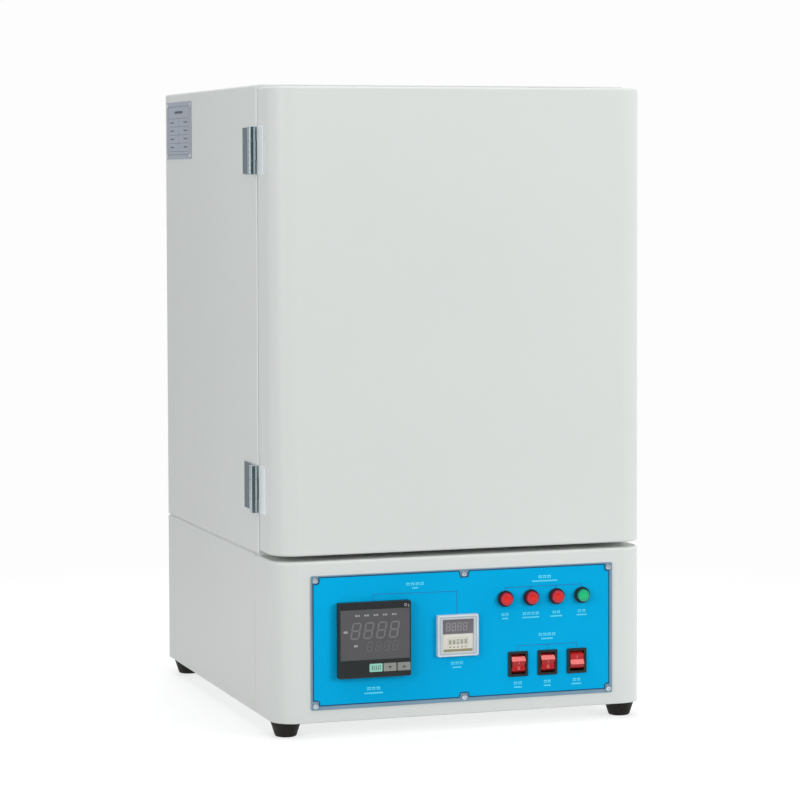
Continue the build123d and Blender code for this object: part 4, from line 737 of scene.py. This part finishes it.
lens_low, lens_high = box_mm("green_lamp_lens")
lens_radius = (lens_high.x - lens_low.x) / 2
lens_front = lens_low.y
lens_core_radius = lens_radius * 0.56
red_finishes = (lamp_red_painted_shade, lamp_red_painted_highlight, lamp_red)
green_finishes = (lamp_green_painted_shade, lamp_green_painted_highlight, lamp_green)
for name, centers, finishes, node, record_slot in (
    ("red_lens", lamp_centers[:3], red_finishes, "red_lamp_lenses", "lamp_red"),
    ("green_lens", lamp_centers[3:], green_finishes, "green_lamp_lens", "lamp_green"),
):
    skirt = bmesh.new()
    cap = bmesh.new()
    core = bmesh.new()
    for center in centers:
        lathe(
            skirt,
            [
                (0, lens_high.y),
                (lens_radius, lens_high.y),
                (lens_radius, lens_front + 1.6),
                (lens_radius - 0.35, lens_front + 0.75),
                (lens_radius - 1.1, lens_front + 0.3),
                (0, lens_front + 0.3),
            ],
            center,
        )
        lathe(
            cap,
            [
                (0, lens_front + 0.6),
                (lens_radius - 1.0, lens_front + 0.6),
                (lens_radius - 1.05, lens_front + 0.25),
                (lens_radius - 1.35, lens_front + 0.05),
                (lens_radius - 2.2, lens_front),
                (lens_core_radius + 0.1, lens_front + 0.08),
                (lens_core_radius, lens_front + 0.3),
                (0, lens_front + 0.3),
            ],
            center,
        )
        lathe(
            core,
            [
                (0, lens_front + 0.5),
                (lens_core_radius - 0.1, lens_front + 0.5),
                (lens_core_radius - 0.1, lens_front + 0.22),
                (lens_core_radius - 0.4, lens_front + 0.1),
                (lens_core_radius * 0.5, lens_front + 0.03),
                (0, lens_front + 0.01),
            ],
            center,
        )
    side_painted_shade, rim_painted_highlight, core_finish = finishes
    skirt_piece = add_piece(f"{name}_skirt", skirt, side_painted_shade, "root", 40)
    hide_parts(node)
    add_piece(f"{name}_cap", cap, rim_painted_highlight, "root", 40)
    add_piece(f"{name}_core", core, core_finish, "root", 40)

lips = bmesh.new()
for center in lamp_centers:
    lathe(
        lips,
        [
            (lens_radius + 0.25, lamps_low.y + 0.5),
            (lens_radius + 0.35, lamps_low.y - 0.25),
            (lens_radius + 0.8, lamps_low.y - 0.5),
            (lens_radius + 1.5, lamps_low.y - 0.2),
            (lens_radius + 1.7, lamps_low.y + 0.5),
            (lens_radius + 0.25, lamps_low.y + 0.5),
        ],
        center,
    )
add_piece("lamp_bezel_lips", lips, black_plastic, "root", 50)

# Rocker switches: caps with sloped ends in place of the plain rockers, with a painted highlight in paler red
# on their upward faces, and their ON and OFF signs

pivot_y = panel_y + 7.0
rocker_half_length = 11.0
rocker_skirt = 4.0
rocker_center = 10.0
rocker_end = rocker_center + rocker_half_length * math.tan(math.radians(10))
rocker_slope = 5.0
crest = rocker_half_length - rocker_slope


def face_out(along):
    """How far out the hollow face of a rocker stands at a place along it."""
    return rocker_center + (rocker_end - rocker_center) * min(1, abs(along) / crest) ** 1.2


def rocker_profile():
    """Side view in the rocker's own frame: (out, along) points, with hollow faces and sloped ends."""
    outer = [(face_out(crest * step / 8), crest * step / 8) for step in range(8)]
    outer += [(rocker_end - 0.05, crest - 0.4), (rocker_end - 0.3, crest + 0.2)]
    outer += [(rocker_end - rocker_slope + 0.3, rocker_half_length - 0.2)]
    outer += [(rocker_end - rocker_slope - 0.3, rocker_half_length), (-rocker_skirt, rocker_half_length)]
    lower = [(out, -along) for out, along in outer[::-1]]
    return lower[:-1] + outer


def catches_light(out, along, tilt):
    """Whether a face of the rocker gets the paler red of the painted highlight: its top slope, or its lower
    half when that stands out.
    """
    if tilt > 0:
        return along > crest and out > rocker_end - rocker_slope
    return -crest < along < 0 and out > rocker_center - 0.1


def rocker_point(out, along, tilt):
    """Depth and height of a point of the rocker's frame, tilted about its pin."""
    angle = math.radians(tilt)
    y = pivot_y - out * math.cos(angle) - along * math.sin(angle)
    z = switch_z - out * math.sin(angle) + along * math.cos(angle)
    return y, z


rocker_tilts = (10, 10, -10)
sign_steps = 20
off_outer_radius, off_inner_radius = 1.8, 1.2
off_place = -3.4
for (name, (low, high)), tilt in zip(rocker_boxes.items(), rocker_tilts):
    center_x = (low.x + high.x) / 2
    body = f"switch_{name}"
    cap = bmesh.new()
    sides = []
    edge = 0.8
    for x, shrink in ((low.x, edge), (low.x + edge, 0), (high.x - edge, 0), (high.x, edge)):
        ring = []
        for out, along in rocker_profile():
            out_here = out - shrink if out > 0 else out
            y, z = rocker_point(out_here, along, tilt)
            ring.append(cap.verts.new((x * MM, y * MM, z * MM)))
        sides.append(ring)
    count = len(sides[0])
    profile = rocker_profile()
    for first, second in zip(sides[:-1], sides[1:]):
        for i in range(count):
            j = (i + 1) % count
            face = cap.faces.new((first[i], first[j], second[j], second[i]))
            middle_out = (profile[i][0] + profile[j][0]) / 2
            middle_along = (profile[i][1] + profile[j][1]) / 2
            face.material_index = int(catches_light(middle_out, middle_along, tilt))
    for ring in (sides[0], sides[-1]):
        cap.faces.new(ring)
    bmesh.ops.triangulate(cap, faces=[f for f in cap.faces if len(f.verts) > 4])
    cap_piece = add_piece(f"rocker_cap_{name}", cap, rocker_red, body, 28)
    # Second slot: the paler red of the painted highlight on the upward faces.
    cap_piece.data.materials.append(rocker_painted_highlight.material)
    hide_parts(f"rocker_{name}")

    signs = bmesh.new()
    for i in range(sign_steps):
        start = 2 * math.pi * i / sign_steps
        end = 2 * math.pi * (i + 1) / sign_steps
        corners = []
        outer, inner = off_outer_radius, off_inner_radius
        for radius, angle in ((outer, start), (outer, end), (inner, end), (inner, start)):
            along = off_place + radius * math.sin(angle)
            y, z = rocker_point(face_out(along) + 0.08, along, tilt)
            corners.append(signs.verts.new(((center_x + radius * math.cos(angle)) * MM, y * MM, z * MM)))
        signs.faces.new(corners)
    bar = []
    for side, along in ((-0.4, 1.8), (0.4, 1.8), (0.4, 5.0), (-0.4, 5.0)):
        y, z = rocker_point(face_out(along) + 0.1, along, tilt)
        bar.append(signs.verts.new(((center_x + side) * MM, y * MM, z * MM)))
    signs.faces.new(bar)
    add_piece(f"rocker_signs_{name}", signs, rocker_mark, body)

# Data plate: engraved frame and ruled rows, with no lettering

plate_low, plate_high = box_mm("data_plate")
plate_face = plate_low.x
rules = bmesh.new()
plate_y = (plate_low.y + plate_high.y) / 2
plate_z = (plate_low.z + plate_high.z) / 2


def plate_bar(y, z, length, height):
    """Flat engraved bar on the data plate, centred at (y, z)."""
    corners = []
    for side_y, side_z in ((-1, -1), (1, -1), (1, 1), (-1, 1)):
        corners.append((y + side_y * length / 2, z + side_z * height / 2))
    rings = [
        [rules.verts.new((x * MM, corner_y * MM, corner_z * MM)) for corner_y, corner_z in corners]
        for x in (plate_face - 0.05, plate_face + 0.02)
    ]
    rules.faces.new(rings[0])
    rules.faces.new(rings[1][::-1])
    for i in range(4):
        j = (i + 1) % 4
        rules.faces.new((rings[0][i], rings[1][i], rings[1][j], rings[0][j]))


frame_length, frame_height, frame_line = 118, 67.6, 0.6
row_pitch, row_length, row_line = 11.5, 106, 0.5
for side in (-1, 1):
    plate_bar(plate_y, plate_z + side * (frame_height - frame_line) / 2, frame_length, frame_line)
    plate_bar(plate_y + side * frame_length / 2, plate_z, frame_line, frame_height)
for row in range(5):
    plate_bar(plate_y, plate_z + 17 - row * row_pitch, row_length, row_line)
plate_bar(plate_y, plate_z - 6, row_line, 4 * row_pitch)
plate_bar(plate_y, plate_z + 25.5, 46, 3.6)
for row in range(4):
    for side in (-1, 1):
        plate_bar(plate_y + side * 38, plate_z + 11.4 - row * row_pitch, 20, 1.8)
add_piece("data_plate_rules", rules, plate_ink, "root")

# Floor, backdrop and light

BACKDROP = (0.982, 0.982, 0.982)


def seen_directly(tree):
    """1 for rays from the camera, a mirror or clear glass, and 0 for rays that light things."""
    path = tree.nodes.new("ShaderNodeLightPath")
    either = tree.nodes.new("ShaderNodeMath")
    either.operation = "MAXIMUM"
    tree.links.new(path.outputs["Is Camera Ray"], either.inputs[0])
    tree.links.new(path.outputs["Is Glossy Ray"], either.inputs[1])
    any_of = tree.nodes.new("ShaderNodeMath")
    any_of.operation = "MAXIMUM"
    tree.links.new(either.outputs[0], any_of.inputs[0])
    tree.links.new(path.outputs["Is Transmission Ray"], any_of.inputs[1])
    return any_of.outputs[0]


world = bpy.data.worlds.new("studio")
bpy.context.scene.world = world
world.use_nodes = True
tree = world.node_tree
tree.nodes.clear()
light_side = tree.nodes.new("ShaderNodeBackground")
light_side.inputs["Color"].default_value = (1.0, 1.0, 1.0, 1)
light_side.inputs["Strength"].default_value = 0.23
shown_side = tree.nodes.new("ShaderNodeBackground")
shown_side.inputs["Color"].default_value = (*BACKDROP, 1)
shown_side.inputs["Strength"].default_value = 1.0
choice = tree.nodes.new("ShaderNodeMixShader")
output = tree.nodes.new("ShaderNodeOutputWorld")
tree.links.new(seen_directly(tree), choice.inputs["Fac"])
tree.links.new(light_side.outputs[0], choice.inputs[1])
tree.links.new(shown_side.outputs[0], choice.inputs[2])
tree.links.new(choice.outputs[0], output.inputs["Surface"])

floor_mesh = bmesh.new()
bmesh.ops.create_circle(floor_mesh, cap_ends=True, segments=96, radius=9.0)
floor_data = bpy.data.meshes.new("floor")
floor_mesh.to_mesh(floor_data)
floor_mesh.free()
floor = bpy.data.objects.new("floor", floor_data)
bpy.context.scene.collection.objects.link(floor)

floor_material = bpy.data.materials.new("floor")
floor_material.use_nodes = True
tree = floor_material.node_tree
tree.nodes.clear()
matt = tree.nodes.new("ShaderNodeBsdfDiffuse")
matt.inputs["Color"].default_value = (0.45, 0.46, 0.455, 1)
lift = tree.nodes.new("ShaderNodeEmission")
lift.inputs["Color"].default_value = (*BACKDROP, 1)
lift.inputs["Strength"].default_value = 0.66
near = tree.nodes.new("ShaderNodeAddShader")
tree.links.new(matt.outputs[0], near.inputs[0])
tree.links.new(lift.outputs[0], near.inputs[1])
far = tree.nodes.new("ShaderNodeEmission")
far.inputs["Color"].default_value = (*BACKDROP, 1)
coordinates = tree.nodes.new("ShaderNodeTexCoord")
distance = tree.nodes.new("ShaderNodeVectorMath")
distance.operation = "LENGTH"
tree.links.new(coordinates.outputs["Object"], distance.inputs[0])
fade = tree.nodes.new("ShaderNodeMapRange")
fade.interpolation_type = "SMOOTHSTEP"
fade.inputs["From Min"].default_value = 0.45
fade.inputs["From Max"].default_value = 1.5
tree.links.new(distance.outputs["Value"], fade.inputs["Value"])
shown_floor = tree.nodes.new("ShaderNodeMixShader")
tree.links.new(fade.outputs["Result"], shown_floor.inputs["Fac"])
tree.links.new(near.outputs[0], shown_floor.inputs[1])
tree.links.new(far.outputs[0], shown_floor.inputs[2])
whole = tree.nodes.new("ShaderNodeMixShader")
output = tree.nodes.new("ShaderNodeOutputMaterial")
tree.links.new(seen_directly(tree), whole.inputs["Fac"])
tree.links.new(matt.outputs[0], whole.inputs[1])
tree.links.new(shown_floor.outputs[0], whole.inputs[2])
tree.links.new(whole.outputs[0], output.inputs["Surface"])
floor_data.materials.append(floor_material)

card_height = 6.0


def mirror_card(name, corners, color, strength):
    """Upright card through (x, y) points that only mirrors see, so that chrome has dark bands."""
    made = bmesh.new()
    low = [made.verts.new((x, y, 0.0)) for x, y in corners]
    high = [made.verts.new((x, y, card_height)) for x, y in corners]
    for i in range(len(corners) - 1):
        made.faces.new((low[i], low[i + 1], high[i + 1], high[i]))
    mesh = bpy.data.meshes.new(name)
    made.to_mesh(mesh)
    made.free()
    card = bpy.data.objects.new(name, mesh)
    bpy.context.scene.collection.objects.link(card)
    material = bpy.data.materials.new(name)
    material.use_nodes = True
    material.node_tree.nodes.clear()
    glow = material.node_tree.nodes.new("ShaderNodeEmission")
    glow.inputs["Color"].default_value = (*color, 1)
    glow.inputs["Strength"].default_value = strength
    output = material.node_tree.nodes.new("ShaderNodeOutputMaterial")
    material.node_tree.links.new(glow.outputs[0], output.inputs["Surface"])
    mesh.materials.append(material)
    card.visible_camera = False
    card.visible_diffuse = False
    card.visible_shadow = False
    card.visible_transmission = False


card_radius = 2.3
arc_turns = [math.radians(turn) for turn in range(22, 184, 6)]
arc = [(-card_radius * math.cos(turn), -card_radius * math.sin(turn)) for turn in arc_turns]
mirror_card("front_card", arc, (0.62, 0.92, 1.0), 0.15)
mirror_card("rear_card", [(-0.82, 1.15), (-0.52, 1.22)], (0.85, 0.93, 1.0), 0.5)
mirror_card("left_card", [(-1.5, 2.4), (-2.7, 1.4), (-3.2, 0.1)], (0.88, 0.95, 1.0), 0.7)


def softbox(name, place, target, width, height, power, mirrored=True):
    """Square studio light at a place, turned to a target, that mirrors may see or not."""
    lamp = bpy.data.lights.new(name, "AREA")
    lamp.shape = "RECTANGLE"
    lamp.size = width
    lamp.size_y = height
    lamp.energy = power
    holder = bpy.data.objects.new(name, lamp)
    bpy.context.scene.collection.objects.link(holder)
    direction = Vector(target) - Vector(place)
    holder.matrix_world = Matrix.Translation(place) @ direction.to_track_quat("-Z", "Y").to_matrix().to_4x4()
    holder.visible_glossy = mirrored


middle = (0.0, -0.1, 0.45)
softbox("left_light", (-3.35, -2.20, 1.25), middle, 2.4, 2.4, 68)
softbox("right_light", (2.76, -3.39, 1.25), middle, 1.6, 2.2, 84, mirrored=False)
softbox("side_light", (3.9, -0.8, 1.25), middle, 1.4, 2.2, 32, mirrored=False)
softbox("rear_light", (0.8, 3.8, 2.2), middle, 1.6, 1.6, 66, mirrored=False)
softbox("top_light", (-0.2, -0.4, 3.4), (0.0, 0.0, 0.5), 2.6, 2.6, 46)

# Camera at the photograph's place

camera_data = bpy.data.cameras.new("camera")
camera_data.sensor_width = 36
camera_data.lens = 131.11
camera_data.shift_y = -0.10
camera = bpy.data.objects.new("camera", camera_data)
bpy.context.scene.collection.objects.link(camera)
yaw, pitch, roll = 0.31931628, 0.04909734, -0.0030048674
forward = Vector((math.sin(yaw) * math.cos(pitch), math.cos(yaw) * math.cos(pitch), -math.sin(pitch)))
level = Vector((math.cos(yaw), -math.sin(yaw), 0))
upward = level.cross(forward)
right = level * math.cos(roll) + upward * math.sin(roll)
up = upward * math.cos(roll) - level * math.sin(roll)
turned = Matrix((right, up, -forward)).transposed().to_4x4()
camera_place = (-1.23887, -3.77876, 0.70712)
camera.matrix_world = Matrix.Translation(camera_place) @ turned
bpy.context.scene.camera = camera

bpy.context.scene.view_settings.view_transform = "Standard"

bpy.context.view_layer.update()
